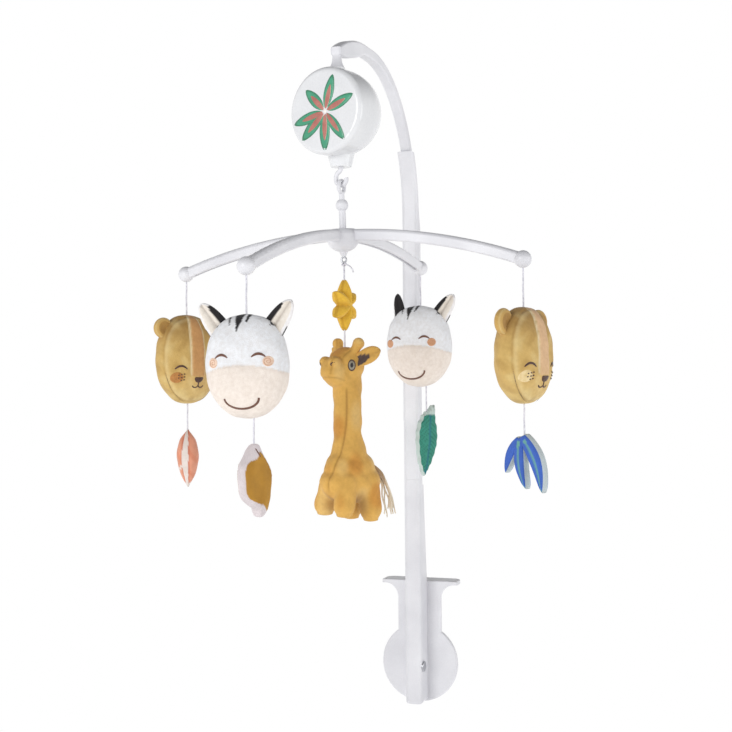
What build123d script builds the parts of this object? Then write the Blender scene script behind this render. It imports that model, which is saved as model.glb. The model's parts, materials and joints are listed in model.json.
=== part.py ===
from build123d import *
import os
from math import asin, cos, degrees, radians, sin, sqrt

# A crib mobile, in millimetres. +Z is up, +X runs along the clamp plate's width, and the crook reaches
# over the crib towards -Y. The origin is where the clamp bolt's axis meets the back of the plate.

os.makedirs("parts", exist_ok=True)


def keep(piece, name):
    """Label a finished piece and write it as its own STEP file."""
    piece.part.label = name
    export_step(piece.part, f"parts/{name}.step")


# ---------------------------------------------------------------- driving dimensions
run_gap = 0.05  # radial clearance of a shaft that turns in a bore
split_gap = 0.3  # gap between pieces that move past each other

plate_thick = 4
disc_radius = 40
neck_width = 46
wing_width = 80
wing_fillet = 14
ledge_top = 85
ledge_thick = 4
ledge_depth = 18

post_width = 17
post_front = -28
post_back = -14
post_corner = 4
foot_bottom = -38
seam_height = 191
rib_top = 185

crook_centre = (-154, 461)  # Y and Z of the crook's main arc
crook_outer = 139
crook_inner = 129.5
box_top = 565.6  # where the crook's end stands on the music box
crook_width = 10
crook_flat = -176  # Y where the crook's level top ends
crook_nose = 147.6  # radius of the arc from there down to the tip
neck_y = -240.3  # the crook's round end stands on the drum here
tail_bottom = 415

drum_height = 527  # Z of the music box's axis
drum_radius = 37.8
drum_front = -256
drum_back = -210
drum_shoulder = -238  # Y where the drum starts to taper
taper_radius = 43.5
drum_wall = 2
spin_y = -232  # the mobile turns about the vertical line through X = 0 and this Y
box_turn = -16  # degrees that the music box is turned about that line, on the crook's round end

bolt_radius = 4
rail_thick = 18  # the rail that the clamp is set for
thread_pitch = 4

pivot_height = 466.9  # where the eye rests in the J hook
hook_wire = 2  # radius
cross_turn = -7.5  # degrees from +X to the cross's right arm
cross_tilt = 3.2  # degrees that the front arm hangs low
arm_reach = 165
arm_drop = 27.8
arm_level = -45.5  # arm centre line at the hub, from the pivot
ball_radius = 7.25
string_radius = 0.75

# ---------------------------------------------------------------- stand
with BuildPart() as post_core:
    with BuildSketch(Plane.XY.offset(foot_bottom)) as foot:
        with Locations((0, post_front)):
            Rectangle(post_width, -plate_thick - post_front, align=(Align.CENTER, Align.MIN))
        fillet(foot.vertices().group_by(Axis.Y)[0], post_corner)
    extrude(amount=ledge_top - foot_bottom)
    fillet(post_core.edges().group_by(Axis.Z)[0].filter_by(lambda e: e.center().Y < -5), 3)
    with BuildSketch(Plane.XY.offset(ledge_top)) as shaft:
        with Locations((0, (post_front + post_back) / 2)):
            RectangleRounded(post_width, post_back - post_front, post_corner)
    extrude(amount=seam_height - ledge_top)
    with BuildSketch(Plane.YZ):
        Polygon(
            (post_back - 6, rib_top),
            (post_back, rib_top),
            (-plate_thick, ledge_top - 1),
            (post_back - 6, ledge_top - 1),
            align=None,
        )
    extrude(amount=post_width / 2, both=True)

with BuildPart() as rail_bracket:
    with BuildSketch(Plane.XZ) as outline:
        Rectangle(neck_width, ledge_top, align=(Align.CENTER, Align.MIN))
        with Locations((0, ledge_top)):
            Rectangle(wing_width, ledge_thick, align=(Align.CENTER, Align.MAX))
        under_wing = outline.vertices().group_by(Axis.Y)[1].sort_by(Axis.X)
        fillet(under_wing.filter_by(lambda v: abs(v.X) < wing_width / 2 - 1), wing_fillet)
        Circle(disc_radius)
    extrude(amount=plate_thick)
    with BuildSketch(Plane.XY.offset(ledge_top - ledge_thick)) as ledge:
        with Locations((0, -plate_thick)):
            Rectangle(wing_width, plate_thick + ledge_depth, align=(Align.CENTER, Align.MIN))
        fillet(ledge.vertices().group_by(Axis.Y)[-1], 8)
    extrude(amount=ledge_thick)
    top_rim = rail_bracket.edges().filter_by(Plane.XY).group_by(Axis.Z)[-1]
    fillet(top_rim + rail_bracket.edges().group_by(Axis.Y)[0].filter_by(lambda e: e not in top_rim), 1.2)
    add(post_core.part)
    with BuildSketch(Plane.XY.offset(seam_height)):
        with Locations((0, (post_front + post_back) / 2)):
            RectangleRounded(12.2, 9.2, 2)
    extrude(amount=-26, mode=Mode.SUBTRACT)
    with BuildSketch(Plane.XZ):
        Circle(bolt_radius)
    extrude(amount=24, mode=Mode.SUBTRACT)
    with BuildSketch(Plane.YZ.offset(-6)):
        with Locations((-20, 0)):
            Circle(2)
    extrude(amount=20, mode=Mode.SUBTRACT)
keep(rail_bracket, "rail_bracket")

# The middle post plugs into the bracket, and its top is an open half sleeve that the crook lies in.
sleeve_front = crook_inner - 2
sleeve_back = crook_inner + 5.5


def crook_point(radius, angle):
    """A point (Y, Z) on the crook's main curve, from the level of its centre upwards."""
    y, z = crook_centre
    return (y + radius * cos(radians(angle)), z + radius * sin(radians(angle)))


with BuildPart() as sleeve:
    with BuildSketch(Plane.YZ):
        with BuildLine():
            Polyline(crook_point(sleeve_back, 2), (post_back, 446), (post_back, seam_height + 60),
                     (post_front - 1, seam_height + 60), crook_point(sleeve_front, 0))
            ThreePointArc(*[crook_point(sleeve_front, a) for a in (0, 14, 29)])
            Line(crook_point(sleeve_front, 29), crook_point(sleeve_back, 26.5))
            ThreePointArc(*[crook_point(sleeve_back, a) for a in (26.5, 14, 2)])
        make_face()
    extrude(amount=post_width / 2, both=True)
    long_edges = sleeve.edges().filter_by(lambda e: abs(e.center().X) > 8 and e.length > 20)
    fillet(long_edges, 3.5)

with BuildPart() as middle_post:
    with BuildSketch(Plane.XY.offset(seam_height + 0.1)):
        with Locations((0, (post_front + post_back) / 2)):
            RectangleRounded(post_width, post_back - post_front, post_corner)
    extrude(amount=80)
    add(sleeve.part)
    with BuildSketch(Plane.XY.offset(seam_height + 1)):
        with Locations((0, (post_front + post_back) / 2)):
            RectangleRounded(12, 9, 2)
    extrude(amount=-26)
    with BuildSketch(Plane.YZ):
        with BuildLine():
            Polyline(crook_point(crook_outer, 0), (crook_centre[0] + crook_outer, tail_bottom),
                     (crook_centre[0] + crook_inner, tail_bottom), crook_point(crook_inner, 0))
            ThreePointArc(*[crook_point(crook_inner, a) for a in (0, 20, 40)])
            Line(crook_point(crook_inner, 40), crook_point(crook_outer + 2, 40))
            ThreePointArc(*[crook_point(crook_outer + 2, a) for a in (40, 20, 1)])
            Line(crook_point(crook_outer + 2, 1), crook_point(crook_outer, 0))
        make_face()
    extrude(amount=crook_width / 2, both=True, mode=Mode.SUBTRACT)
keep(middle_post, "middle_post")

with BuildPart() as crook_arm:
    top = crook_centre[1] + crook_outer
    with BuildSketch(Plane.YZ):
        with BuildLine():
            CenterArc(crook_centre, crook_outer, 0, 90)
            Line((crook_centre[0], top), (crook_flat, top))
            nose = CenterArc((crook_flat, top - crook_nose), crook_nose, 90, 27.4)
            Polyline(nose @ 1, (neck_y - 3.6, 580), (neck_y - 3, 576.2), (neck_y + 3, 576.2))
            ThreePointArc((neck_y + 3, 576.2), (-208, 581), (crook_flat, top - 9.6))
            Line((crook_flat, top - 9.6), crook_point(crook_inner, 90))
            CenterArc(crook_centre, crook_inner, 0, 90)
            Polyline(crook_point(crook_inner, 0), (crook_centre[0] + crook_inner, tail_bottom),
                     (crook_centre[0] + crook_outer, tail_bottom), crook_point(crook_outer, 0))
        make_face()
    extrude(amount=crook_width / 2, both=True)
    sides = crook_arm.faces().filter_by(Axis.X)
    fillet(sides.edges().filter_by(lambda e: e.center().Z > 462), 2.2)
    with BuildSketch(Plane.XY.offset(577.5)):
        with Locations((0, neck_y)):
            RectangleRounded(8, 6.2, 2.6)
    with BuildSketch(Plane.XY.offset(571.5)):
        with Locations((0, neck_y)):
            RectangleRounded(8.6, 7.4, 3.2)
    with BuildSketch(Plane.XY.offset(box_top)):
        with Locations((0, neck_y)):
            Circle(6.6)
    loft()
    with BuildSketch(Plane.XY.offset(574)):
        with Locations((0, neck_y)):
            Circle(3)
    extrude(amount=-18)
keep(crook_arm, "crook_arm")

# ---------------------------------------------------------------- clamp
with BuildPart() as clamp_bolt:
    with BuildSketch(Plane.XZ.offset(23.9)):
        Circle(bolt_radius - 0.02)
    extrude(amount=-(23.9 + 52))
    chamfer(clamp_bolt.edges().group_by(Axis.Y)[-1], 1)
    with BuildSketch(Plane.YZ.offset(-6)):
        with Locations((-20, 0)):
            Circle(2)
    extrude(amount=12, mode=Mode.SUBTRACT)
keep(clamp_bolt, "clamp_bolt")

with BuildPart() as bolt_retainer_pin:
    with BuildSketch(Plane.YZ.offset(-5.9)):
        with Locations((-20, 0)):
            Circle(1.97)
    extrude(amount=15)
    with BuildSketch(Plane.YZ.offset(post_width / 2 + 0.02)):
        with Locations((-20, 0)):
            Circle(5.5)
    extrude(amount=1.6)
    fillet(bolt_retainer_pin.edges().group_by(Axis.X)[-1], 1)
keep(bolt_retainer_pin, "bolt_retainer_pin")

jaw_front = rail_thick + 2
with BuildPart() as jaw_pad:
    with BuildSketch(Plane.XZ.offset(-rail_thick)):
        RectangleRounded(38, 38, 12)
        Circle(bolt_radius + 0.6, mode=Mode.SUBTRACT)
    extrude(amount=-2)
keep(jaw_pad, "jaw_pad")

with BuildPart() as clamp_jaw:
    with BuildSketch(Plane.XZ.offset(-jaw_front)):
        RectangleRounded(40, 40, 13)
    extrude(amount=-4)
    fillet(clamp_jaw.edges().group_by(Axis.Y)[-1], 1.5)
    with BuildSketch(Plane.XZ.offset(-jaw_front)):
        Circle(bolt_radius + run_gap)
    extrude(amount=-4, mode=Mode.SUBTRACT)
keep(clamp_jaw, "clamp_jaw")

with BuildPart() as clamp_knob:
    with BuildSketch(Plane.XZ.offset(-(jaw_front + 4 + split_gap))) as lobes:
        Circle(17)
        with PolarLocations(16, 6):
            Circle(5)
        fillet(lobes.vertices(), 2)
    extrude(amount=-12)
    fillet(clamp_knob.edges().group_by(Axis.Y)[-1], 2)
    with BuildSketch(Plane.XZ.offset(-(jaw_front + 4))):
        Circle(bolt_radius + run_gap)
    extrude(amount=-20, mode=Mode.SUBTRACT)
keep(clamp_knob, "clamp_knob")

# ---------------------------------------------------------------- music box shells
pillar_spots = [(30.2, 75), (30.2, 195), (30.2, 315)]  # radius and angle about the drum's axis
pillar_radius = 3
spin_line = Axis((0, spin_y, 0), (0, 0, 1))


def turned(piece):
    """A part of the music box, modelled along Y, turned about the spin line as the box is."""
    return piece.part.rotate(spin_line, box_turn)


def keep_turned(piece, name):
    """Write a piece of the music box, turned as the box is."""
    with BuildPart() as placed:
        add(turned(piece))
    keep(placed, name)


def drum_half(inset):
    """Half of the drum's section, moved in from the outside by inset, for a turn about its axis."""
    front, back, r = drum_front + inset, drum_back - inset, drum_radius - inset
    taper = taper_radius - inset
    shoulder = (drum_shoulder, drum_height + drum_radius - taper_radius)
    taper_angle = degrees(asin((back - drum_shoulder) / taper))
    with BuildSketch(Plane.YZ) as half:
        with BuildLine():
            ThreePointArc((front - 1, drum_height), (front - 0.75, drum_height + r / 2),
                          (front, drum_height + r))
            Line((front, drum_height + r), (drum_shoulder, drum_height + r))
            slope = CenterArc(shoulder, taper, 90, -taper_angle)
            Polyline(slope @ 1, (back, drum_height), (front - 1, drum_height))
        make_face()
        fillet(half.vertices().group_by(Axis.Y)[-1].sort_by(Axis.X)[0], 4.5 - inset)
        fillet(half.vertices().group_by(Axis.X)[-1].sort_by(Axis.Y)[-1], 3.5 - inset)
    return half.sketch


drum_axis = Axis((0, 0, drum_height), (0, 1, 0))

with BuildPart() as drum_body:
    revolve(drum_half(0), axis=drum_axis)

with BuildPart() as drum:
    add(turned(drum_body))
    with BuildSketch(Plane.XY.offset(box_top - 0.05)):
        with Locations((0, neck_y)):
            Circle(7)
    extrude(amount=-6)
    with BuildSketch(Plane.XY.offset(480.8)):
        with Locations((0, spin_y)):
            Circle(9.1)
    extrude(amount=13, taper=-14)

with BuildPart() as drum_room:
    revolve(drum_half(drum_wall), axis=drum_axis)
    with BuildSketch(Plane.XZ.offset(-drum_back)):
        with Locations((0, drum_height)):
            for radius, angle in pillar_spots:
                with PolarLocations(radius, 1, angle):
                    Circle(pillar_radius)
    extrude(amount=60, mode=Mode.SUBTRACT)

with BuildPart() as drum_inside:
    add(turned(drum_room))
    with BuildSketch(Plane.XY.offset(487)):
        with Locations((0, spin_y)):
            Circle(9)
    extrude(amount=4.5, mode=Mode.SUBTRACT)
    with BuildSketch(Plane.XY.offset(555)):
        with Locations((0, neck_y)):
            Circle(5)
    extrude(amount=12, mode=Mode.SUBTRACT)

with BuildPart() as screw_holes:
    for hole_radius, depth in ((1, 36), (2.1, 12)):
        with BuildSketch(Plane.XZ.offset(-drum_back)):
            with Locations((0, drum_height)):
                Circle(2.5)
                for radius, angle in pillar_spots:
                    with PolarLocations(radius, 1, angle):
                        Circle(hole_radius)
        extrude(amount=depth)

with BuildPart() as drum_holes:
    add(turned(screw_holes))
    with BuildSketch(Plane.XY.offset(574)):
        with Locations((0, neck_y)):
            Circle(3.05)
    extrude(amount=-18.1)
    for level, hole_radius, depth in ((480, 3, 2), (481.8, 5, 10), (491.55, 6.7, 3.4)):
        with BuildSketch(Plane.XY.offset(level)):
            with Locations((0, spin_y)):
                Circle(hole_radius)
        extrude(amount=depth)

with BuildPart() as casing:
    add(drum.part)
    add(drum_inside.part, mode=Mode.SUBTRACT)
    add(drum_holes.part, mode=Mode.SUBTRACT)

box_forward = Vector(sin(radians(box_turn)), -cos(radians(box_turn)), 0)
box_seam = Plane(origin=(0, spin_y, 0), z_dir=box_forward)
for name, side in (("music_box_front", Keep.TOP), ("music_box_back", Keep.BOTTOM)):
    with BuildPart() as shell:
        add(casing.part)
        split(bisect_by=box_seam, keep=side)
    keep(shell, name)

with BuildPart() as box_screws:
    for radius, angle in pillar_spots:
        with BuildSketch(Plane.XZ.offset(-(drum_back - 11.95))):
            with Locations((0, drum_height)):
                with PolarLocations(radius, 1, angle):
                    Circle(2)
        extrude(amount=-1.6)
        with BuildSketch(Plane.XZ.offset(-(drum_back - 11.95))):
            with Locations((0, drum_height)):
                with PolarLocations(radius, 1, angle):
                    Circle(0.98)
        extrude(amount=20)
keep_turned(box_screws, "box_screws")

with BuildPart() as spindle_bush:
    with BuildSketch(Plane.XY.offset(481.85)):
        with Locations((0, spin_y)):
            Circle(4.98)
    extrude(amount=9.75)
    with BuildSketch(Plane.XY.offset(491.6)):
        with Locations((0, spin_y)):
            Circle(6.5)
    extrude(amount=1.4)
    with BuildSketch(Plane.XY.offset(480)):
        with Locations((0, spin_y)):
            Circle(2.5 + run_gap)
    extrude(amount=14, mode=Mode.SUBTRACT)
keep(spindle_bush, "spindle_bush")

# ---------------------------------------------------------------- wind-up movement
# Every wheel's axis runs along Y except the spindle's, which is driven through a crown wheel.
module = 0.5
spindle_teeth, crown_teeth = 12, 44
barrel_teeth, cylinder_teeth = 56, 20
idler_pinion_teeth, idler_wheel_teeth, governor_teeth = 16, 40, 10
plate_back, plate_front = -215, -216.5  # movement plate
bridge_back, bridge_front = -246.5, -248
arbor_radius = 1


def pitch_radius(teeth):
    return module * teeth / 2


def wheel_face(teeth, bore, phase=0):
    """A toothed wheel's face in the current sketch; phase turns its teeth, in degrees."""
    pitch = pitch_radius(teeth)
    root, tip = pitch - 0.6, pitch + 0.38
    Circle(root)
    with PolarLocations(0, teeth, phase):
        Polygon((root - 0.2, -0.4), (tip, -0.15), (tip, 0.15), (root - 0.2, 0.4), align=None)
    Circle(bore, mode=Mode.SUBTRACT)


def meshed_phase(teeth, phase, mate_teeth, angle):
    """The phase that puts mate's teeth in the gaps of a wheel, when mate lies at this angle from it."""
    step, mate_step = 360 / teeth, 360 / mate_teeth
    part_of_step = ((angle - phase) / step) % 1
    return (angle + 180 + (part_of_step - 0.5) * mate_step) % mate_step


def polar(centre, distance, angle):
    """The point (X, Z) at a distance and angle from centre."""
    return (centre[0] + distance * cos(radians(angle)), centre[1] + distance * sin(radians(angle)))


barrel_centre = (0, drum_height)
cylinder_angle, idler_angle, governor_angle = 150, 20, -50
cylinder_centre = polar(barrel_centre, pitch_radius(barrel_teeth + cylinder_teeth), cylinder_angle)
idler_centre = polar(barrel_centre, pitch_radius(barrel_teeth + idler_pinion_teeth), idler_angle)
governor_centre = polar(idler_centre, pitch_radius(idler_wheel_teeth + governor_teeth), governor_angle)
cylinder_phase = meshed_phase(barrel_teeth, 0, cylinder_teeth, cylinder_angle)
idler_phase = meshed_phase(barrel_teeth, 0, idler_pinion_teeth, idler_angle)
governor_phase = meshed_phase(idler_wheel_teeth, 0, governor_teeth, governor_angle)
bearings = [cylinder_centre, idler_centre, governor_centre]
plate_posts = [polar(barrel_centre, 23.5, a) for a in (100, 232, 285)]
comb_level = cylinder_centre[1]

with BuildPart() as movement_plate:
    with BuildSketch(Plane.XZ.offset(-plate_back)):
        with Locations(barrel_centre):
            Circle(26.5)
            Circle(1.5 + run_gap, mode=Mode.SUBTRACT)
        with Locations(*bearings):
            Circle(arbor_radius + run_gap, mode=Mode.SUBTRACT)
    extrude(amount=plate_back - plate_front)
    with BuildSketch(Plane.XZ.offset(-plate_front)):
        with Locations(*plate_posts):
            Circle(1.8)
    extrude(amount=plate_front - bridge_back)
keep_turned(movement_plate, "movement_plate")

with BuildPart() as movement_bridge:
    with BuildSketch(Plane.XZ.offset(-bridge_back)):
        with Locations(barrel_centre):
            Circle(26.5)
        with Locations((-26, comb_level - 3)):
            Rectangle(8, 12)
        with Locations(barrel_centre):
            Circle(1.5 + run_gap, mode=Mode.SUBTRACT)
        with Locations(*bearings):
            Circle(arbor_radius + run_gap, mode=Mode.SUBTRACT)
        with Locations(polar(barrel_centre, 13, 75), polar(barrel_centre, 13, 250)):
            Circle(6, mode=Mode.SUBTRACT)
    extrude(amount=bridge_back - bridge_front)
    with BuildSketch(Plane.XZ.offset(-bridge_back)):
        with Locations((-27.9, comb_level - 4.5)):
            Rectangle(4, 7)
    extrude(amount=-16)
    with BuildSketch(Plane.XY.offset(comb_level - 1)):
        with Locations((-28, -236), (-28, -242)):
            Circle(0.8)
    extrude(amount=-5, mode=Mode.SUBTRACT)
keep_turned(movement_bridge, "movement_bridge")

crown_face = spin_y + pitch_radius(spindle_teeth)
with BuildPart() as spring_barrel:
    with BuildSketch(Plane.XZ.offset(218)):
        with Locations(barrel_centre):
            Circle(12)
    extrude(amount=9)
    with BuildSketch(Plane.XZ.offset(218)):
        with Locations(barrel_centre):
            wheel_face(barrel_teeth, 11)
    extrude(amount=2)
    with BuildSketch(Plane.XZ.offset(227)):
        with Locations(barrel_centre):
            Circle(12.5)
    extrude(amount=1)
    with BuildSketch(Plane.XZ.offset(228)):
        with Locations(barrel_centre):
            with PolarLocations(0, crown_teeth, 180 / crown_teeth):
                Polygon((10, -0.28), (12, -0.28), (12, 0.28), (10, 0.28), align=None)
    extrude(amount=-crown_face - 228 + 0.4, taper=8)
    with BuildSketch(Plane.XZ.offset(217.9)):
        with Locations(barrel_centre):
            Circle(11)
    extrude(amount=8.1, mode=Mode.SUBTRACT)
    with BuildSketch(Plane.XZ.offset(217)):
        with Locations(barrel_centre):
            Circle(1.5 + run_gap)
    extrude(amount=14, mode=Mode.SUBTRACT)
keep_turned(spring_barrel, "spring_barrel")

spring_pitch = 1.5
spring_start = 2.6
with BuildPart() as mainspring:
    with BuildSketch(Plane(origin=(0, -218.6, drum_height), x_dir=(1, 0, 0), z_dir=(0, -1, 0))):
        with BuildLine() as coil:
            for half_turn in range(10):
                near = spring_start + half_turn * spring_pitch / 2
                far = near + spring_pitch / 2
                side = 1 if half_turn % 2 == 0 else -1
                middle = (side * (near - far) / 2, side * (near + far) / 2)
                ThreePointArc((side * near, 0), middle, (-side * far, 0))
        trace(coil.line, line_width=0.45)
    extrude(amount=7)
keep_turned(mainspring, "mainspring")

with BuildPart() as barrel_arbor:
    with BuildSketch(Plane.XZ.offset(204)):
        with Locations(barrel_centre):
            Circle(1.5)
    extrude(amount=-bridge_front - 204 - 0.2)
keep_turned(barrel_arbor, "barrel_arbor")

with BuildPart() as winding_key:
    with BuildSketch(Plane.XZ.offset(208)):
        with Locations(barrel_centre):
            Circle(4.5)
    extrude(amount=-6)
    with BuildSketch(Plane.XZ.offset(205.5)) as wings:
        with Locations(barrel_centre):
            SlotOverall(27, 9)
    extrude(amount=-11)
    fillet(winding_key.edges().group_by(Axis.Y)[-1], 1.2)
    with BuildSketch(Plane.XZ.offset(208.5)):
        with Locations(barrel_centre):
            Circle(1.5)
    extrude(amount=-4.5, mode=Mode.SUBTRACT)
keep_turned(winding_key, "winding_key")

cylinder_radius = 6
with BuildPart() as pin_cylinder:
    with BuildSketch(Plane.XZ.offset(218)):
        with Locations(cylinder_centre):
            wheel_face(cylinder_teeth, 0.5, cylinder_phase)
    extrude(amount=2)
    with BuildSketch(Plane.XZ.offset(215.2)):
        with Locations(cylinder_centre):
            Circle(arbor_radius)
    extrude(amount=-bridge_front - 215.4)
    with BuildSketch(Plane.XZ.offset(231)):
        with Locations(cylinder_centre):
            Circle(cylinder_radius)
    extrude(amount=14.5)
    for row in range(14):
        with BuildSketch(Plane.XZ.offset(231.8 + row)):
            with Locations(cylinder_centre):
                with PolarLocations(cylinder_radius, 3, 35 + row * 77):
                    Rectangle(0.9, 0.4)
        extrude(amount=0.4)
keep_turned(pin_cylinder, "pin_cylinder")

comb_tip = cylinder_centre[0] - cylinder_radius - 0.75
with BuildPart() as tone_comb:
    with BuildSketch(Plane.XY.offset(comb_level - 1)) as comb:
        with Locations(((comb_tip - 30) / 2, -238.5)):
            Rectangle(comb_tip + 30, 14.5)
        with Locations(*[((comb_tip - 25.8) / 2 + 0.1, -232.7 - row) for row in range(13)]):
            Rectangle(comb_tip + 25.8, 0.35, mode=Mode.SUBTRACT)
        with Locations((-28, -236), (-28, -242)):
            Circle(0.82, mode=Mode.SUBTRACT)
    extrude(amount=1)
keep_turned(tone_comb, "tone_comb")

with BuildPart() as comb_screws:
    with BuildSketch(Plane.XY.offset(comb_level)):
        with Locations((-28, -236), (-28, -242)):
            Circle(1.5)
    extrude(amount=1)
    with BuildSketch(Plane.XY.offset(comb_level)):
        with Locations((-28, -236), (-28, -242)):
            Circle(0.78)
    extrude(amount=-5)
keep_turned(comb_screws, "comb_screws")

wheel_plane = 232.2
with BuildPart() as idler_wheel:
    with BuildSketch(Plane.XZ.offset(218)):
        with Locations(idler_centre):
            wheel_face(idler_pinion_teeth, 0.5, idler_phase)
    extrude(amount=2)
    with BuildSketch(Plane.XZ.offset(wheel_plane)):
        with Locations(idler_centre):
            wheel_face(idler_wheel_teeth, 0.5)
    extrude(amount=1.2)
    with BuildSketch(Plane.XZ.offset(215.2)):
        with Locations(idler_centre):
            Circle(arbor_radius)
    extrude(amount=-bridge_front - 215.4)
keep_turned(idler_wheel, "idler_wheel")

with BuildPart() as governor:
    with BuildSketch(Plane.XZ.offset(wheel_plane - 0.2)):
        with Locations(governor_centre):
            wheel_face(governor_teeth, 0.5, governor_phase)
    extrude(amount=1.6)
    with BuildSketch(Plane.XZ.offset(236)):
        with Locations(governor_centre):
            Rectangle(11, 0.8)
    extrude(amount=7)
    with BuildSketch(Plane.XZ.offset(215.2)):
        with Locations(governor_centre):
            Circle(arbor_radius)
    extrude(amount=-bridge_front - 215.4)
keep_turned(governor, "governor")

# ---------------------------------------------------------------- turning spindle with the J hook
turn = radians(cross_turn)
cross_right = Vector(cos(turn), sin(turn), 0)
cross_rear = Vector(-sin(turn), cos(turn), 0)
hook_plane = Plane(origin=(0, spin_y, 0), x_dir=cross_right, z_dir=-cross_rear)
hook_radius = 5
loop_height = pivot_height - hook_wire + hook_radius

with BuildPart() as spindle_hook:
    with BuildLine(hook_plane) as wire:
        stem = Line((0, 484), (0, 480.8))
        bend_out = JernArc(stem @ 1, (0, -1), hook_radius, -60)
        bend_down = JernArc(bend_out @ 1, bend_out % 1, hook_radius, 60)
        drop = Line(bend_down @ 1, (-hook_radius, loop_height))
        JernArc(drop @ 1, (0, -1), hook_radius, 195)
    with BuildSketch(Plane(origin=(0, spin_y, 484), z_dir=(0, 0, -1))):
        Circle(hook_wire)
    sweep(path=wire.line)
    with BuildSketch(Plane.XY.offset(480.6)):
        with Locations((0, spin_y)):
            Circle(2.5)
    extrude(amount=521 - 480.6)
    with BuildSketch(Plane.XY.offset(493 + split_gap)):
        with Locations((0, spin_y)):
            Circle(4.2)
    extrude(amount=1.6)
    with BuildSketch(Plane.XY.offset(drum_height - 12.5)):
        with Locations((0, spin_y)):
            wheel_face(spindle_teeth, 0.5, box_turn)
    extrude(amount=3)
keep(spindle_hook, "spindle_hook")

# ---------------------------------------------------------------- hanger and cross
tilt = radians(cross_tilt)
cross_up = -cross_rear * sin(tilt) + Vector(0, 0, 1) * cos(tilt)
pivot = Vector(0, spin_y, pivot_height)
cross_plane = Plane(origin=pivot, x_dir=cross_right, z_dir=cross_up)
eye_wire, eye_radius = 1.7, 5.3
eye_drop = -(eye_radius - eye_wire) + 0.3
hub_radius = 14.4
hub_bottom = -60.3

with BuildPart() as hanger_stem:
    with Locations(Plane(origin=cross_plane.from_local_coords((0, 0, eye_drop)), z_dir=cross_right)):
        Torus(eye_radius, eye_wire)
    with BuildSketch(cross_plane.offset(-8.2)):
        Circle(2.4)
    extrude(amount=-8)
    with Locations(cross_plane.offset(-19.3)):
        Sphere(5.5)
    with BuildSketch(cross_plane.offset(-20)):
        Circle(3)
    extrude(amount=-32)
keep(hanger_stem, "hanger_stem")

cross_back = cross_up.cross(cross_right)
outward_of = {"right": cross_right, "rear": cross_back, "left": -cross_right, "front": -cross_back}
arm_curve = (arm_reach**2 + arm_drop**2) / (2 * arm_drop)  # radius of an arm's centre line
arm_height, arm_width = 10, 8.5


def arm_band(plane, low, high, start, end):
    """A curved strip of the arm's side view, between two radii of its arc."""
    def at(radius, reach):
        return (reach, arm_level - arm_curve + sqrt(radius**2 - reach**2))

    with BuildSketch(plane) as band:
        with BuildLine():
            ThreePointArc(*[at(high, r) for r in (start, (start + end) / 2, end)])
            Line(at(high, end), at(low, end))
            ThreePointArc(*[at(low, r) for r in (end, (start + end) / 2, start)])
            Line(at(low, start), at(high, start))
        make_face()
    return band.sketch


arms = {}
for side, outward in outward_of.items():
    side_view = Plane(origin=pivot, x_dir=outward, z_dir=outward.cross(cross_up))
    with BuildPart() as arm:
        whole = arm_band(side_view, arm_curve - arm_height / 2, arm_curve + arm_height / 2, 5.5, 161)
        extrude(whole, amount=arm_width / 2, both=True)
        long_edges = arm.edges().filter_by(lambda e: e.length > 140)
        fillet(long_edges.sort_by(lambda e: e.center().dot(cross_up))[-2:], 3.4)
        fillet(arm.edges().filter_by(lambda e: e.length > 140).sort_by(
            lambda e: e.center().dot(cross_up))[:2], 1.6)
        groove = arm_band(side_view, arm_curve - arm_height / 2 - 1, arm_curve - 2, 20, 156)
        extrude(groove, amount=1.6, both=True, mode=Mode.SUBTRACT)
    keep(arm, f"arm_{side}")
    arms[side] = arm.part
    tip = pivot + outward * arm_reach + cross_up * (arm_level - arm_drop)
    with BuildPart() as ball:
        with Locations(Plane(origin=tip, z_dir=outward)):
            Sphere(ball_radius)
        add(arm.part, mode=Mode.SUBTRACT)
    keep(ball, f"ball_{side}")

with BuildPart() as cross_hub:
    with BuildSketch(Plane(origin=pivot, x_dir=cross_right, z_dir=cross_right.cross(cross_up))) as bowl:
        with BuildLine():
            Polyline((2.1, hub_bottom - 3.3), (0, hub_bottom - 3.3), (0, -40), (7, -40))
            ThreePointArc((7, -40), (hub_radius - 1.6, -41.6), (hub_radius, -45))
            Line((hub_radius, -45), (hub_radius, -48))
            ThreePointArc((hub_radius, -48), (10.6, hub_bottom + 4), (4, hub_bottom + 0.6))
            Line((4, hub_bottom + 0.6), (2.1, hub_bottom - 3.3))
        make_face()
    revolve(axis=Axis(pivot, cross_up))
    for arm_part in arms.values():
        add(arm_part, mode=Mode.SUBTRACT)
    add(hanger_stem.part, mode=Mode.SUBTRACT)
    with BuildSketch(cross_plane.offset(hub_bottom - 4)):
        Circle(1.1)
    extrude(amount=9, mode=Mode.SUBTRACT)
keep(cross_hub, "cross_hub")

eyelet_radius, eyelet_wire = 2.3, 0.85
eyelet_drop = hub_bottom - 3.3 - eyelet_wire - eyelet_radius - 0.1
with BuildPart() as hub_eyelet:
    with Locations(Plane(origin=cross_plane.from_local_coords((0, 0, eyelet_drop)), z_dir=cross_rear)):
        Torus(eyelet_radius, eyelet_wire)
    with BuildSketch(cross_plane.offset(hub_bottom - 4)):
        Circle(1.08)
    extrude(amount=8.9)
keep(hub_eyelet, "hub_eyelet")

# ---------------------------------------------------------------- strings and soft toys


def facing(azimuth, x, y, z, roll=0):
    """A plane at a point that faces an azimuth, counted from -Y towards +X, with its y axis up."""
    a, r = radians(azimuth), radians(roll)
    across = (cos(a) * cos(r), sin(a) * cos(r), sin(r))
    return Plane(origin=(x, y, z), x_dir=across, z_dir=(sin(a), -cos(a), 0))


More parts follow.
